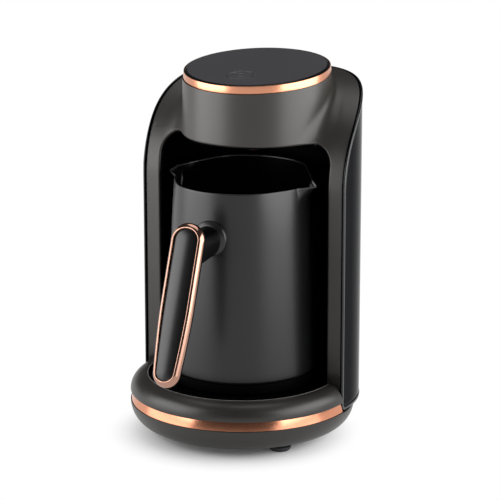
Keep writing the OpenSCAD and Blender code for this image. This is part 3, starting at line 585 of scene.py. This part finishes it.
def buildShell():
    # an upright sheet on the shell's plan: height = foot + v * (top - foot), the top following the shoulder
    q = shellLook
    radius, side, gap = q["radius"] - 0.3, q["run"] + q["proud"], q["insideLip"]
    total = 2 * side + np.pi * radius
    near = side * (1 - np.cos(np.linspace(0, np.pi / 2, 16)))
    half = np.hstack([near, np.linspace(side, total / 2, 60)[1:]])
    s = np.clip(np.hstack([half, total - half[::-1][1:]]), gap, total - gap)
    x, y = shellPlan(s, radius)[:2]
    away = np.clip(q["footRound"] - np.minimum(s, total - s), 0, q["footRound"])
    low = q["foot"] + gap + q["footRound"] - np.sqrt(q["footRound"] ** 2 - away ** 2)
    high = shellTop(y) - gap
    z = low[:, None] + (high - low)[:, None] * np.linspace(0, 1, 40)
    points, faces = gridPart(np.stack([x[:, None] + 0 * z, y[:, None] + 0 * z, z], 2))
    addWall(makePiece("cover_sheet", (points, faces[:, ::-1]), "base", coverBlack,
                      ["rear_shell"], closed=False), q["thick"] - 0.4)


def buildShellLip():
    # a bead all round the sheet's edge: its section is a rounded oblong, carried along the edge's path
    q, c = shellLook, columnLook
    radius, side, bend = q["radius"], q["run"] + q["proud"], q["footRound"]
    total = 2 * side + np.pi * radius
    # up the front edge, over the shoulder to the back
    rise = np.linspace(q["foot"] + bend, c["shoulderZ"], 40)[:-1]
    phi = np.linspace(0, np.pi / 2, 120)
    topY = c["reach"] - (c["reach"] + q["proud"]) * np.cos(phi)
    backY = np.linspace(c["reach"], q["run"] + radius, 24)[1:]
    yUp = np.hstack([np.full_like(rise, -q["proud"]), topY, backY])
    zUp = np.hstack([rise, c["shoulderZ"] + c["rise"] * np.sin(phi),
                     np.full_like(backY, c["shoulderZ"] + c["rise"])])
    sinA = np.clip((yUp - q["run"]) / radius, 0, 1)
    sUp = np.where(yUp < q["run"], yUp + q["proud"], side + radius * np.arcsin(sinA))
    # the rounded foot corner and half of the lower edge
    turn = np.linspace(0, np.pi / 2, 9)[1:]
    sFoot = bend - bend * np.cos(turn)
    zFoot = q["foot"] + bend - bend * np.sin(turn)
    sLow = np.linspace(bend, total / 2, 70)[1:]
    sHalf = np.hstack([sLow[::-1], sFoot[::-1], sUp])
    zHalf = np.hstack([np.full_like(sLow, q["foot"]), zFoot[::-1], zUp])
    s = np.hstack([sHalf, total - sHalf[::-1][1:-1]])
    z = np.hstack([zHalf, zHalf[::-1][1:-1]])
    x, y, outX, outY = shellPlan(s, radius)
    path = np.stack([x, y, z], 1)
    out = np.stack([outX, outY, 0 * outX], 1)
    along = unit(np.roll(path, -1, 0) - np.roll(path, 1, 0))
    edge = unit(np.cross(along, out))          # in the sheet, towards its edge or away from it
    wide, deep = -q["lipT"], -q["lipDepth"]
    section = closedSection((0, deep / 2), [(0, 0), (wide, 0), (wide, deep), (0, deep)],
                            [0.9, 0.9, 0.4, 0.4], 5)
    sign = -1 if edge[len(sLow) + 20, 1] > 0 else 1
    grid = path[:, None] + out[:, None] * section[None, :, :1] + sign * edge[:, None] * section[None, :, 1:]
    makePiece("cover_lip", gridPart(grid, wrapRows=True, wrapCols=True), "base", lipBlack,
              ["rear_shell"])


linerLook = {"radius": 64.2, "wall": 1.6, "front": 11.5, "low": 35.5, "high": 200.9, "plateT": 2.2,
             "inHead": 2.5, "holeR": 6.1}
sensorLook = {"y": 17.6, "tip": 190.4, "tipR": 4.4, "coneZ": 197.0, "radius": 6.0, "top": 203.1,
              "flange": 8.0, "flangeT": 2, "lensR": 2.95, "domeUp": 2.6, "domeR": 3.9, "lensT": 3}


def buildLiner():
    # half round wall behind the pot, its section carried round the pot's axis
    q = linerLook
    half = np.arccos(-q["front"] / q["radius"])
    outR, inR, low, high = q["radius"], q["radius"] - q["wall"], q["low"], q["high"]
    section = closedSection((outR, (low + high) / 2), [(outR, high), (inR, high), (inR, low), (outR, low)],
                            [0.3] * 4, 3)
    grid = capEnds(turned(section, np.linspace(half, 2 * np.pi - half, 97)))
    # near black, darker than the liner's own black: painted shade in the bay
    makePiece("bay_wall", gridPart(grid, wrapCols=True), "base", blackAndPaintedShade, ["bay_liner"])


def buildUnderside():
    # plate over the bay: the head's circle in front, the liner's circle behind, as one outline r(a) about
    # the head's axis; the liner's circle from there is r = -back cos a + sqrt(R^2 - (back sin a)^2)
    q, back = linerLook, columnLook["headBack"]
    a = np.linspace(0, 2 * np.pi, 240, endpoint=False)
    headR = columnLook["headLow"] - q["inHead"]
    circle = np.stack([np.sin(a), -np.cos(a)], 1)
    far = -back * circle[:, 1] + np.sqrt(q["radius"] ** 2 - (back * circle[:, 0]) ** 2)
    behind = back + far * circle[:, 1] > q["front"] + 1
    r = np.maximum(headR, np.where(behind, far, headR))
    ring = circle * r[:, None] + [0, back]
    hole = circle * q["holeR"] + [0, sensorLook["y"]]
    low, high = q["high"], q["high"] + q["plateT"]
    grid = np.stack([atHeight(*row) for row in ((hole, low), (ring, low), (ring, high), (hole, high))])
    # near black, the same darkened black as the liner: painted shade over the bay
    makePiece("bay_ceiling", gridPart(grid, wrapRows=True, wrapCols=True), "base", blackAndPaintedShade,
              ["head_underside"])


def buildSensor():
    # a turned nose with a cone at its tip, and a domed window:
    # r = radius * cos f, z = middle + radius * sin f
    q = sensorLook
    inR, tip, top, high = q["lensR"], q["tip"], q["top"], q["top"] + q["flangeT"]
    profile = closedSection((inR, tip + 1), [(inR + 0.05, tip), (q["tipR"], tip), (q["radius"], q["coneZ"]),
                                             (q["radius"], top), (q["flange"], top), (q["flange"], high),
                                             (inR, high)], [0.4, 0.7, 2, 0.2, 0.3, 0.3, 0.2], 4)
    makePiece("sensor_nose", turnedPart(profile, (0, q["y"]), 64), "base", satinBlack,
              ["overflow_sensor"])
    dome = arcPoints((0, tip + q["domeUp"]), q["domeR"], -90, -42, 8)
    lens = np.vstack([dome, [inR, tip + 0.2], [inR, tip + q["lensT"]], [0, tip + q["lensT"]]])
    lens[:, 0] = np.minimum(lens[:, 0], inR)
    makePiece("sensor_window", turnedPart(lens, (0, q["y"]), 48), "base", lensRed,
              ["sensor_lens"])


def onHead(points):
    # from the tilted frame of the head's top: turned about x by the tilt, then moved to the ring's top centre
    t = np.radians(headLook["tilt"])
    x, y, z = points[..., 0], points[..., 1], points[..., 2]
    return np.stack([x, y * np.cos(t) - z * np.sin(t) + columnLook["headBack"],
                     y * np.sin(t) + z * np.cos(t) + headLook["topZ"]], -1)


def turnedOnHead(profile, **more):
    points, faces = turnedPart(profile, **more)
    return onHead(points), faces


topLook = {"ringR": 49.9, "ringH": 5.1, "ringRim": 1.3, "ringLean": 0.35, "ringCrown": 0.12, "ringFoot": 2,
           "panelR": 48.5, "panelT": 2.2, "panelProud": 0.55, "panelBevel": 1.5, "panelCrown": 0.45}
keyLook = {"radius": 8.75, "hole": 8.9, "holeRound": 0.35, "ahead": 25.2, "below": 0.05, "skirtZ": -3.4,
           "flangeW": 1.5, "flangeZ": -4.4, "stemR": 2.5, "stemZ": -5.15, "markR": 4.2, "dotR": 1.4,
           "markW": 0.35, "markDeep": 0.16}


def panelTop(square):
    # the panel's height in the tilted frame, by the square of the distance from its middle:
    # proud + crown * (1 - square / radius^2)
    return topLook["panelProud"] + topLook["panelCrown"] * (1 - square / topLook["panelR"] ** 2)


def buildRing():
    # its face leans in and is crowned as the band's is, its top and its seat for the panel are flat
    q = topLook
    t = np.linspace(-1, 1, 13)
    face = np.stack([q["ringR"] - q["ringLean"] * (1 + t) / 2 - q["ringCrown"] * t ** 2,
                     -q["ringH"] + 0.05 + (q["ringH"] - 0.35) * (t + 1) / 2], 1)
    inR = q["ringR"] - q["ringRim"]
    footR = inR - q["ringFoot"]
    top = roundCorners([face[-1], (q["ringR"] - q["ringLean"] - 0.15, 0), (inR, 0), (inR, -q["panelT"]),
                        (footR, -q["panelT"]), (footR, -q["ringH"] + 0.05), face[0]],
                       [0, 0.3, 0.3, 0.1, 0.1, 0.1, 0], 5)
    ring = turnedOnHead(np.vstack([face, top[1:-1]]), count=256)
    makePiece("top_ring", ring, "base", copper, ["head_ring"])


def buildPanel():
    # one disc with the key's round hole: rows run from the hole's edge out to the rim,
    # point = hole's circle * (1 - u) + rim's circle * u
    q, k = topLook, keyLook
    a = np.linspace(0, 2 * np.pi, 240, endpoint=False)
    circle = np.stack([np.sin(a), -np.cos(a)], 1)
    hole = k["hole"] * circle + [0, -k["ahead"]]
    crowned = lambda xy, drop=0: atHeight(xy, panelTop((xy ** 2).sum(1, keepdims=True)) - drop)
    bend = k["holeRound"]
    edge = ((0, q["panelT"] + 0.6), (0, bend), (0.1, 0.1), (bend, 0))      # inset and drop
    rows = [crowned(hole + circle * inset, drop) for inset, drop in edge]
    topR = q["panelR"] - q["panelBevel"]
    for u in np.linspace(0, 1, 22)[1:]:
        rows.append(crowned((hole + circle * bend) * (1 - u) + circle * topR * u))
    rows.append(atHeight(circle * topR, -q["panelT"]))
    grid = onHead(np.stack(rows))
    # the panel's black border, a quarter round: r = top + bevel * cos f, z = proud - bevel * (1 - sin f)
    quarter = arcPoints((topR, q["panelProud"] - q["panelBevel"]), q["panelBevel"], 90, 0, 10)
    border = np.vstack([quarter, [q["panelR"], -q["panelT"]], [topR + 0.02, -q["panelT"]],
                        [topR + 0.02, q["panelProud"] - 0.1]])
    makePiece("panel_border", turnedOnHead(border, count=240), "base", glossBlack,
              ["control_panel"])
    makePiece("touch_panel", gridPart(grid, wrapRows=True, wrapCols=True), "base", slateGlass,
              ["control_panel"])


def buildKey():
    # the key's top carries a plain engraved ring and dot: depth = deep * exp(-((r - at) / wide)^2) for each
    k = keyLook
    mark, radius = k["markR"], k["radius"]
    r = np.hstack([np.linspace(0, 1.1, 5), np.linspace(1.2, 1.6, 5), np.linspace(1.8, mark - 0.4, 4),
                   np.linspace(mark - 0.3, mark + 0.3, 9), np.linspace(mark + 0.5, radius - 0.4, 8)])
    groove = lambda at: np.exp(-((r - at) / k["markW"]) ** 2)
    z = panelTop(k["ahead"] ** 2) - k["below"] - k["markDeep"] * (groove(mark) + groove(k["dotR"]))
    edge = roundCorners([(r[-1], z[-1]), (radius, z[-1]), (radius, k["skirtZ"])], [0, 0.35, 0], 5)
    flangeR = radius + k["flangeW"]
    profile = np.vstack([np.stack([r, z], 1), edge[1:], [flangeR, k["skirtZ"]], [flangeR, k["flangeZ"]],
                         [k["stemR"], k["flangeZ"]], [k["stemR"], k["stemZ"]], [0, k["stemZ"]]])
    key = turnedOnHead(profile, centre=(0, -k["ahead"]), count=96)
    makePiece("round_key", key, "start_key", slateGlass, ["start_key"])


potLook = {"footR": 50.3, "rimR": 46.6, "footZ": 44.0, "rimZ": 173.5, "wall": 1.1, "spoutOut": 9.4,
           "frontWide": 12.0, "backWide": 21.0, "backOut": 5.2, "spoutPower": 1.25, "spoutDeep": 13.0,
           "tipUp": 0.5, "tipWide": 10, "rise": 6.7, "riseFall": 3.2, "tipTurn": 3.2, "pinch": 1.4,
           "pinchAt": 32.0, "pinchWide": 14.0, "pinchDeep": 34, "footRound": 2.2, "floorZ": 46.0,
           "floorRound": 4, "coatBelow": 1.0, "coatT": 0.12, "coatOff": 0.02}


def spoutTurn(a):
    # angle in degrees from the nearer spout, and whether it lies on the spout's back side
    return np.abs(np.degrees(np.arcsin(np.clip(np.cos(a), -1, 1)))), np.cos(a) < 0


def rimHeight(a):
    # in front: rim + tipUp * (1 - d / tipWide)^1.5; behind: rim + (rise - fall * (b / 90)^3.5), b the angle
    # from the back, which drops to the tip's height over the last few degrees
    q = potLook
    d, behind = spoutTurn(a)
    front = q["tipUp"] * np.clip(1 - d / q["tipWide"], 0, 1) ** 1.5
    high = q["rise"] - q["riseFall"] * ((90 - d) / 90) ** 3.5
    back = q["tipUp"] + (high - q["tipUp"]) * np.clip(d / q["tipTurn"], 0, 1) ** 0.8
    return q["rimZ"] + np.where(behind, back, front)


def potRadius(a, z, inset=0.0):
    # cone plus two spouts, less a soft pinch beside each; a spout's reach at the rim, by the angle d from its
    # tip: in front out * (1 - d / wide)^power, behind backOut * (1 - d / backWide)^power
    # + (out - backOut) * exp(-d / 2); below the rim it shrinks with the square of the height
    q = potLook
    cone = q["footR"] - (z - q["footZ"]) * (q["footR"] - q["rimR"]) / (q["rimZ"] - q["footZ"]) - inset
    d, behind = spoutTurn(a)
    soft = np.sqrt(d ** 2 + 0.16) - 0.4
    front = q["spoutOut"] * np.clip(1 - soft / q["frontWide"], 0, 1) ** q["spoutPower"]
    back = (q["backOut"] * np.clip(1 - soft / q["backWide"], 0, 1) ** q["spoutPower"]
            + (q["spoutOut"] - q["backOut"]) * np.exp(-soft / 2))
    deep = np.clip((z - (rimHeight(a) - q["spoutDeep"])) / q["spoutDeep"], 0, 1.05) ** 2
    low = np.clip((z - (q["rimZ"] - q["pinchDeep"])) / q["pinchDeep"], 0, 1.1) ** 2
    pinch = np.exp(-((d - q["pinchAt"]) / q["pinchWide"]) ** 2) * low
    return cone + np.where(behind, back, front) * deep - q["pinch"] * pinch


def potAngles():
    # angles round the pot, close together at the two spouts
    near = np.linspace(-1, 1, 65)
    near = 20 * np.sign(near) * np.abs(near) ** 1.6
    spare = np.linspace(20, 160, 61)[1:-1]
    return np.radians(np.hstack([near, spare, near + 180, spare + 180])) + np.pi / 2


def ringRow(a, r, z):
    # point = (r sin a, -r cos a, z), with one radius and height or one for each angle
    return np.stack([r * np.sin(a), -r * np.cos(a), z + 0 * a], 1)


def potSkin(a, inset, low, top, turns, share):
    # rows from the middle of the floor out, up the rounded corner and up the wall, to the height top:
    # corner z = low + round * (1 - sin f), r = wall - round * (1 - cos f)
    bend = potLook["floorRound"]
    rows = [ringRow(a, r, low) for r in (0, 15, 30)]
    for f in np.radians(turns):
        z = low + bend * (1 - np.sin(f))
        rows.append(ringRow(a, potRadius(a, z, inset) - bend * (1 - np.cos(f)), z))
    for s in share:
        z = low + bend + (top - low - bend) * s
        rows.append(ringRow(a, potRadius(a, z, inset), z))
    return rows


def buildPot():
    # rows from the middle of the foot up the outside, over the round rim and down the inside to the floor
    q = potLook
    a, half, bend = potAngles(), q["wall"] / 2, q["footRound"]
    edgeZ = rimHeight(a) - half
    share = np.hstack([np.linspace(0, 0.86, 24), np.linspace(0.875, 1, 22)])     # close together at the rim
    rows = [ringRow(a, r, q["footZ"]) for r in (0, 20, 40)]
    for f in np.radians([0, 18, 36, 54, 72, 90]):
        z = q["footZ"] + bend * (1 - np.cos(f))
        rows.append(ringRow(a, potRadius(a, z) - bend * (1 - np.sin(f)), z))
    low = q["footZ"] + bend
    for s in share[1:]:
        z = low + (edgeZ - low) * s
        rows.append(ringRow(a, potRadius(a, z), z))
    for f in np.radians([30, 60, 90, 120, 150, 180]):
        rows.append(ringRow(a, potRadius(a, edgeZ) - half * (1 - np.cos(f)), edgeZ + half * np.sin(f)))
    rows += potSkin(a, q["wall"], q["floorZ"], edgeZ, (90, 80, 60, 40, 20), share[:-1])[::-1]
    makePiece("pot_shell", gridPart(np.stack(rows, 1), wrapRows=True), "pot", potGunmetal,
              ["pot_body"], sharp=60)


def buildLining():
    # the black coat inside the pot: two skins a little off its wall that meet below the rim
    q = potLook
    a = potAngles()
    top = rimHeight(a) - q["coatBelow"]
    share = np.hstack([np.linspace(0, 0.84, 20), np.linspace(0.86, 1, 16)])
    inner, outer = [potSkin(a, q["wall"] + off, q["floorZ"] + off, top, (90, 70, 50, 30, 10), share)
                    for off in (q["coatT"] + q["coatOff"], q["coatOff"])]
    makePiece("pot_lining", gridPart(np.stack(inner + outer[::-1], 1), wrapRows=True), "pot",
              coatBlack, sharp=60)


collarLook = {"radius": 49.5, "low": 35.6, "top": 43.9, "pocket": 30.0, "wall": 2, "skirt": 2.5, "floor": 2.4,
              "socketUp": 6}


def buildCollar():
    # the black ring under the pot: a skirt outside, a short wall round the socket inside
    q = collarLook
    r, low, pocket, top = q["radius"], q["low"], q["pocket"], q["top"]
    skirt, wall, floor, up = r - q["skirt"], pocket + q["wall"], low + q["floor"], low + q["socketUp"]
    corners = [(pocket, low), (r - 2, low), (r, low + 2.2), (r, top), (skirt, top), (skirt, floor),
               (wall, floor), (wall, up), (pocket, up)]
    profile = closedSection((pocket, low + 2), corners, [0.4, 0.8, 0.8, 0.4, 0.2, 0.2, 0.2, 0.2, 0.2], 4)
    # near black, darker than the ring's own black: painted shade under the pot
    makePiece("pot_foot_ring", turnedPart(profile), "pot", blackAndPaintedShade, ["pot_collar"])


barLook = {"ahead": 77.8, "z": 161.0, "length": 107.4, "lean": 20.5, "wTop": 23.4, "wLow": 19.0, "even": 68.0,
           "soften": 12, "thick": 7.6, "trimDepth": 4.5, "crestAt": 2.3, "endExtra": 0.9, "crestW": 0.6,
           "crestDeep": 0.9, "sideArc": 5.2, "backInset": 0.4, "backRound": 1.5, "insertCrown": 1.7,
           "insertZ": -1.45, "insertLow": -4.3, "insertEdge": 0.25}


def onBar(points):
    # from the bar's frame (x across, y up the bar, z out of its face) to the pot's
    t = np.radians(90 - barLook["lean"])
    x, y, z = points[..., 0], points[..., 1], points[..., 2]
    return np.stack([x, y * np.cos(t) - z * np.sin(t) - barLook["ahead"],
                     y * np.sin(t) + z * np.cos(t) + barLook["z"]], -1)


def barOutline():
    # half width by the length s down the bar: level, then drawn in by the power 1.5 of the rest of the way,
    # between two round ends; returns points, going round, and their outward directions
    b = barLook
    rTop, rLow = b["wTop"] / 2, b["wLow"] / 2
    s = np.linspace(rTop, b["length"] - rLow, 60)[1:-1]
    narrow = b["even"] - b["soften"]      # from here down
    t = np.clip((s - narrow) / (b["length"] - rLow - narrow), 0, 1)
    flank = np.stack([rTop - (rTop - rLow) * t ** 1.5, -s], 1)
    up, down = np.linspace(0, np.pi, 36), np.linspace(np.pi, 2 * np.pi, 36)
    top = np.stack([rTop * np.cos(up), rTop * (np.sin(up) - 1)], 1)
    low = np.stack([rLow * np.cos(down), rLow * (np.sin(down) + 1) - b["length"]], 1)
    points = np.vstack([top, flank * [-1, 1], low, flank[::-1]])
    along = np.roll(points, -1, 0) - np.roll(points, 1, 0)
    return points, unit(np.stack([along[:, 1], -along[:, 0]], 1))


def barSpine(base):
    # the bar's middle line, each of its points level with its own point of the outline
    b = barLook
    return np.stack([0 * base[:, 0], np.clip(base[:, 1], b["wLow"] / 2 - b["length"], -b["wTop"] / 2)], 1)


def endGrow(out):
    # the crest of the trim stands further in at the bar's two ends:
    # 1 + extra / crestAt * |out along the bar|^1.5
    return 1 + barLook["endExtra"] * np.abs(out[:, 1]) ** 1.5 / barLook["crestAt"]


def carried(section):
    # a section of (distance out from the outline, height) carried round the bar's outline
    points, out = barOutline()
    xy = points[:, None] + out[:, None] * (section[None, :, :1] * endGrow(out)[:, None, None])
    return np.dstack([xy, np.broadcast_to(section[None, :, 1:], xy.shape[:2] + (1,))])


def buildTrim():
    # the loop's section: a narrow crest in front, a chamfer of 45 degrees, then a flat arc out to the side:
    # distance = arc * (sin f - 1), height = low + arc * cos f, f from 45 to 90 degrees
    b = barLook
    inner, arc, deep = -b["crestAt"] - b["crestW"], b["sideArc"], -b["trimDepth"]
    f = np.radians(np.linspace(45, 90, 12))
    side = np.stack([arc * (np.sin(f) - 1), deep + 0.3 + arc * np.cos(f)], 1)
    crest = [[inner, -b["crestDeep"]], [inner, -0.3], [inner + 0.12, -0.08], [inner + 0.3, 0],
             [-b["crestAt"], 0]]
    section = np.vstack([crest, side, [[-0.3, deep], [inner, deep]]])
    loop = gridPart(onBar(carried(section)), wrapRows=True, wrapCols=True)
    makePiece("handle_loop", loop, "pot", roseGold, ["handle_trim"])


def buildInsert():
    # a pad in the loop: rows of the outline drawn in to the bar's middle line; its height is an arc across,
    # edge + crown * (1 - (distance from the middle line / half width)^2)
    b = barLook
    points, out = barOutline()
    trimIn = b["crestAt"] + b["crestW"]
    base = points - out * (trimIn * endGrow(out) + 0.05)[:, None]
    halfW, spine = b["wTop"] / 2 - trimIn, barSpine(base)
    rows = [atHeight(spine, b["insertLow"]), atHeight(base, b["insertLow"])]
    reach = lambda xy, other: np.linalg.norm(xy - other, axis=1, keepdims=True)
    for u in np.linspace(0, 1, 25):
        xy = base * (1 - u) + spine * u
        edge = -b["insertEdge"] * np.exp(-reach(xy, base) / b["insertEdge"])
        crown = b["insertCrown"] * (1 - (reach(xy, spine) / halfW) ** 2)
        rows.append(atHeight(xy, b["insertZ"] + crown + edge))
    pad = gridPart(onBar(np.stack(rows)), wrapCols=True)
    makePiece("handle_pad", pad, "pot", insertSatin, ["handle_insert"])


def buildBack():
    # the bar's black back: flanks, a quarter round (z = low + round * (1 - sin f)), then level to the middle
    b = barLook
    low, bend = -b["thick"], b["backRound"]
    points, out = barOutline()
    base = points - out * b["backInset"]
    spine = barSpine(base)
    rows = [atHeight(spine, -b["trimDepth"]), atHeight(base, -b["trimDepth"])]
    for f in np.radians([0, 22, 45, 68, 90]):
        rows.append(atHeight(base - out * bend * (1 - np.cos(f)), low + bend * (1 - np.sin(f))))
    for u in (0.3, 0.6, 1.0):
        rows.append(atHeight((base - out * bend) * (1 - u) + spine * u, low))
    back = gridPart(onBar(np.stack(rows)), wrapCols=True)
    makePiece("handle_spine", back, "pot", neckBlack, ["handle_back"])


neckLook = {"z": 143.0, "radius": 9.0, "lowAtBar": 15.0, "lowAtPot": 11.6, "flangeR": 12.0, "flangeY": -50.4}
flangeRows = [(0, 0), (8.6, 0), (9.2, 0.15), (10.2, 0.8), (11.1, 1.4), (11.6, 1.75), (11.85, 2.1)]  # r, depth


def buildNeck():
    # an oval arm on a level axis: its lower half reaches further down towards the bar
    q, b = neckLook, barLook
    lean = np.radians(b["lean"])
    barAt = b["ahead"] + (b["z"] - q["z"]) * np.tan(lean) - b["thick"] / np.cos(lean)
    a = np.linspace(0, 2 * np.pi, 96, endpoint=False)
    t = np.linspace(0, 1, 16)[:, None]
    low = q["lowAtBar"] + (q["lowAtPot"] - q["lowAtBar"]) * t
    up = np.where(np.sin(a) > 0, q["radius"], low) * np.sin(a)
    start = -(barAt - up * np.tan(lean)) + 0.05          # follows the bar's leaning back
    y = start * (1 - t) + q["flangeY"] * t
    grid = capEnds(np.stack([q["radius"] * np.cos(a) + 0 * t, y, q["z"] + up], 2))
    makePiece("handle_arm", gridPart(grid, wrapCols=True), "pot", neckBlack, ["handle_neck"])


def buildFlange():
    # a shallow cone whose back follows the pot: y = flange face + depth in front, -(pot's radius) at the back
    q = neckLook
    a = np.linspace(0, 2 * np.pi, 96, endpoint=False)
    disc = lambda r, y: np.stack([r * np.cos(a), y + 0 * a, q["z"] + r * np.sin(a)], 1)
    rows = [disc(r, q["flangeY"] + depth) for r, depth in flangeRows]
    for r in (q["flangeR"], 0):
        cone = potRadius(np.zeros_like(a), q["z"] + r * np.sin(a))
        rows.append(disc(r, -np.sqrt(cone ** 2 - (r * np.cos(a)) ** 2) + 0.02))
    makePiece("handle_flange_ring", gridPart(np.stack(rows), wrapCols=True), "pot",
              potGunmetal, ["handle_flange"])


stages = {
    "base": (buildTray, buildDeck, buildSeat, buildBand, buildFeet),
    "column": (buildFascia, buildShell, buildShellLip, buildLiner, buildUnderside, buildSensor),
    "head": (buildRing, buildPanel, buildKey),
    "pot": (buildPot, buildLining, buildCollar, buildTrim, buildInsert, buildBack, buildNeck, buildFlange)}
for stage, builders in stages.items():
    for build in builders:
        build()
    print(stage, "built")

# the CAD nodes that still show are painted by their slot in the record
recordSlots = {part["node"]: part["material_slot"] for part in frame["record"]["subparts"]}
for name, node in frame["nodes"].items():
    if node.hide_render:
        continue
    slot = recordSlots.get(name, "plastic_black")
    node.data.materials.clear()
    node.data.materials.append(slotMaterials[slot])
print("nodes painted")

cameraLook = {"place": (679.16, -1360.05, 524.54), "azimuth": 26.34, "elevation": 14.76, "lens": 167.6,
              "sensor": 36}
cameraData = bpy.data.cameras.new("camera")
cameraData.lens = cameraLook["lens"]
cameraData.sensor_width = cameraLook["sensor"]
cameraData.clip_end = 50
camera = bpy.data.objects.new("camera", cameraData)
bpy.context.scene.collection.objects.link(camera)
camera.location = (np.array(cameraLook["place"]) + [0, axisY, 0]) * mm
camera.rotation_euler = np.radians([90 - cameraLook["elevation"], 0, cameraLook["azimuth"]])
bpy.context.scene.camera = camera

# floor and light are in metres
stageLook = {"floorSize": 5.0, "floorColour": (0.62, 0.62, 0.62), "clearFrom": 0.045, "clearTo": 0.088,
             "clearLeast": 0.05, "world": 0.06, "bend": 0.3, "wallTop": 0.62}
lampLook = {     # turn from the camera's side, height, distance, size, power, height that it is aimed at
    "low_left": (-78, 0.055, 0.44, (0.46, 0.11), 0.26, 0.055),
    "high_left": (-77, 0.28, 0.44, (0.48, 0.34), 2.2, 0.28),
    "low_right": (56, 0.055, 0.44, (0.40, 0.11), 0.18, 0.055),
    "high_right": (71, 0.28, 0.44, (0.56, 0.34), 2.7, 0.28),
    "soft_top": (180, 1.3, 0.25, (0.9, 0.9), 4.4, 0.12)}


def buildFloor():
    # a round floor that bends up into a low wall far away, so that a level view has the same backdrop; away
    # from the object it shows as plain white to the camera and in reflections
    q = stageLook
    rings = np.hstack([[0], np.linspace(0.15, 1, 12) * q["floorSize"]]) / mm
    level = np.stack([rings, np.full_like(rings, -0.02)], 1)
    bend = q["bend"] / mm
    curve = arcPoints((rings[-1], bend), bend, -85, 0, 12)
    points, faces = turnedPart(np.vstack([level, curve, [rings[-1] + bend, q["wallTop"] / mm]]), count=96)
    mesh = bpy.data.meshes.new("floor")
    mesh.from_pydata((points * mm).tolist(), [], faces[:, ::-1].tolist())
    mesh.validate()
    floor = bpy.data.objects.new("floor", mesh)
    bpy.context.scene.collection.objects.link(floor)
    material, tree, shader = newMaterial("floor")
    setInputs(shader, {"Base Color": (*q["floorColour"], 1), "Roughness": 0.9, "Specular IOR Level": 0.1})
    length = addNode(tree, "VectorMath", links={0: addNode(tree, "TexCoord").outputs["Object"]})
    length.operation = "LENGTH"
    ends = {"From Min": q["clearFrom"], "From Max": q["clearTo"], "To Min": q["clearLeast"]}
    clear = addNode(tree, "MapRange", ends, {"Value": length.outputs["Value"]})
    clear.interpolation_type = "SMOOTHSTEP"
    rays = addNode(tree, "LightPath").outputs
    share = rays["Is Camera Ray"]
    for operation, other in (("MAXIMUM", rays["Is Glossy Ray"]), ("MAXIMUM", rays["Is Transmission Ray"]),
                             ("MULTIPLY", clear.outputs["Result"])):
        step = addNode(tree, "Math", links={0: share, 1: other})
        step.operation = operation
        share = step.outputs[0]
    white = addNode(tree, "Emission").outputs[0]
    mix = addNode(tree, "MixShader", links={"Fac": share, 1: shader.outputs[0], 2: white})
    tree.links.new(mix.outputs[0], tree.nodes["Material Output"].inputs["Surface"])
    mesh.materials.append(material)


def addLamp(name, turn, height, distance, size, power, aimZ):
    # a soft box at that angle from the camera's side, aimed at the object's middle line at the height aimZ
    a = np.radians(cameraLook["azimuth"] + turn)
    data = bpy.data.lights.new(name, "AREA")
    data.shape = "RECTANGLE"
    data.size, data.size_y = size
    data.energy = power
    lamp = bpy.data.objects.new(name, data)
    bpy.context.scene.collection.objects.link(lamp)
    place = np.array([distance * np.sin(a), -distance * np.cos(a), height])
    lamp.location = place
    lamp.visible_camera = False
    way = place - np.array([0, 0, aimZ])
    lamp.rotation_euler = (np.arctan2(np.hypot(way[0], way[1]), way[2]), 0, np.arctan2(way[0], -way[1]))


def buildWorld():
    world = bpy.data.worlds.new("studio")
    bpy.context.scene.world = world
    world.use_nodes = True
    setInputs(world.node_tree.nodes["Background"], {"Color": (stageLook["world"],) * 3 + (1,), "Strength": 1})


buildFloor()
buildWorld()
for name, values in lampLook.items():
    addLamp(name, *values)
print("stage built")
bpy.context.scene.view_settings.view_transform = "Standard"
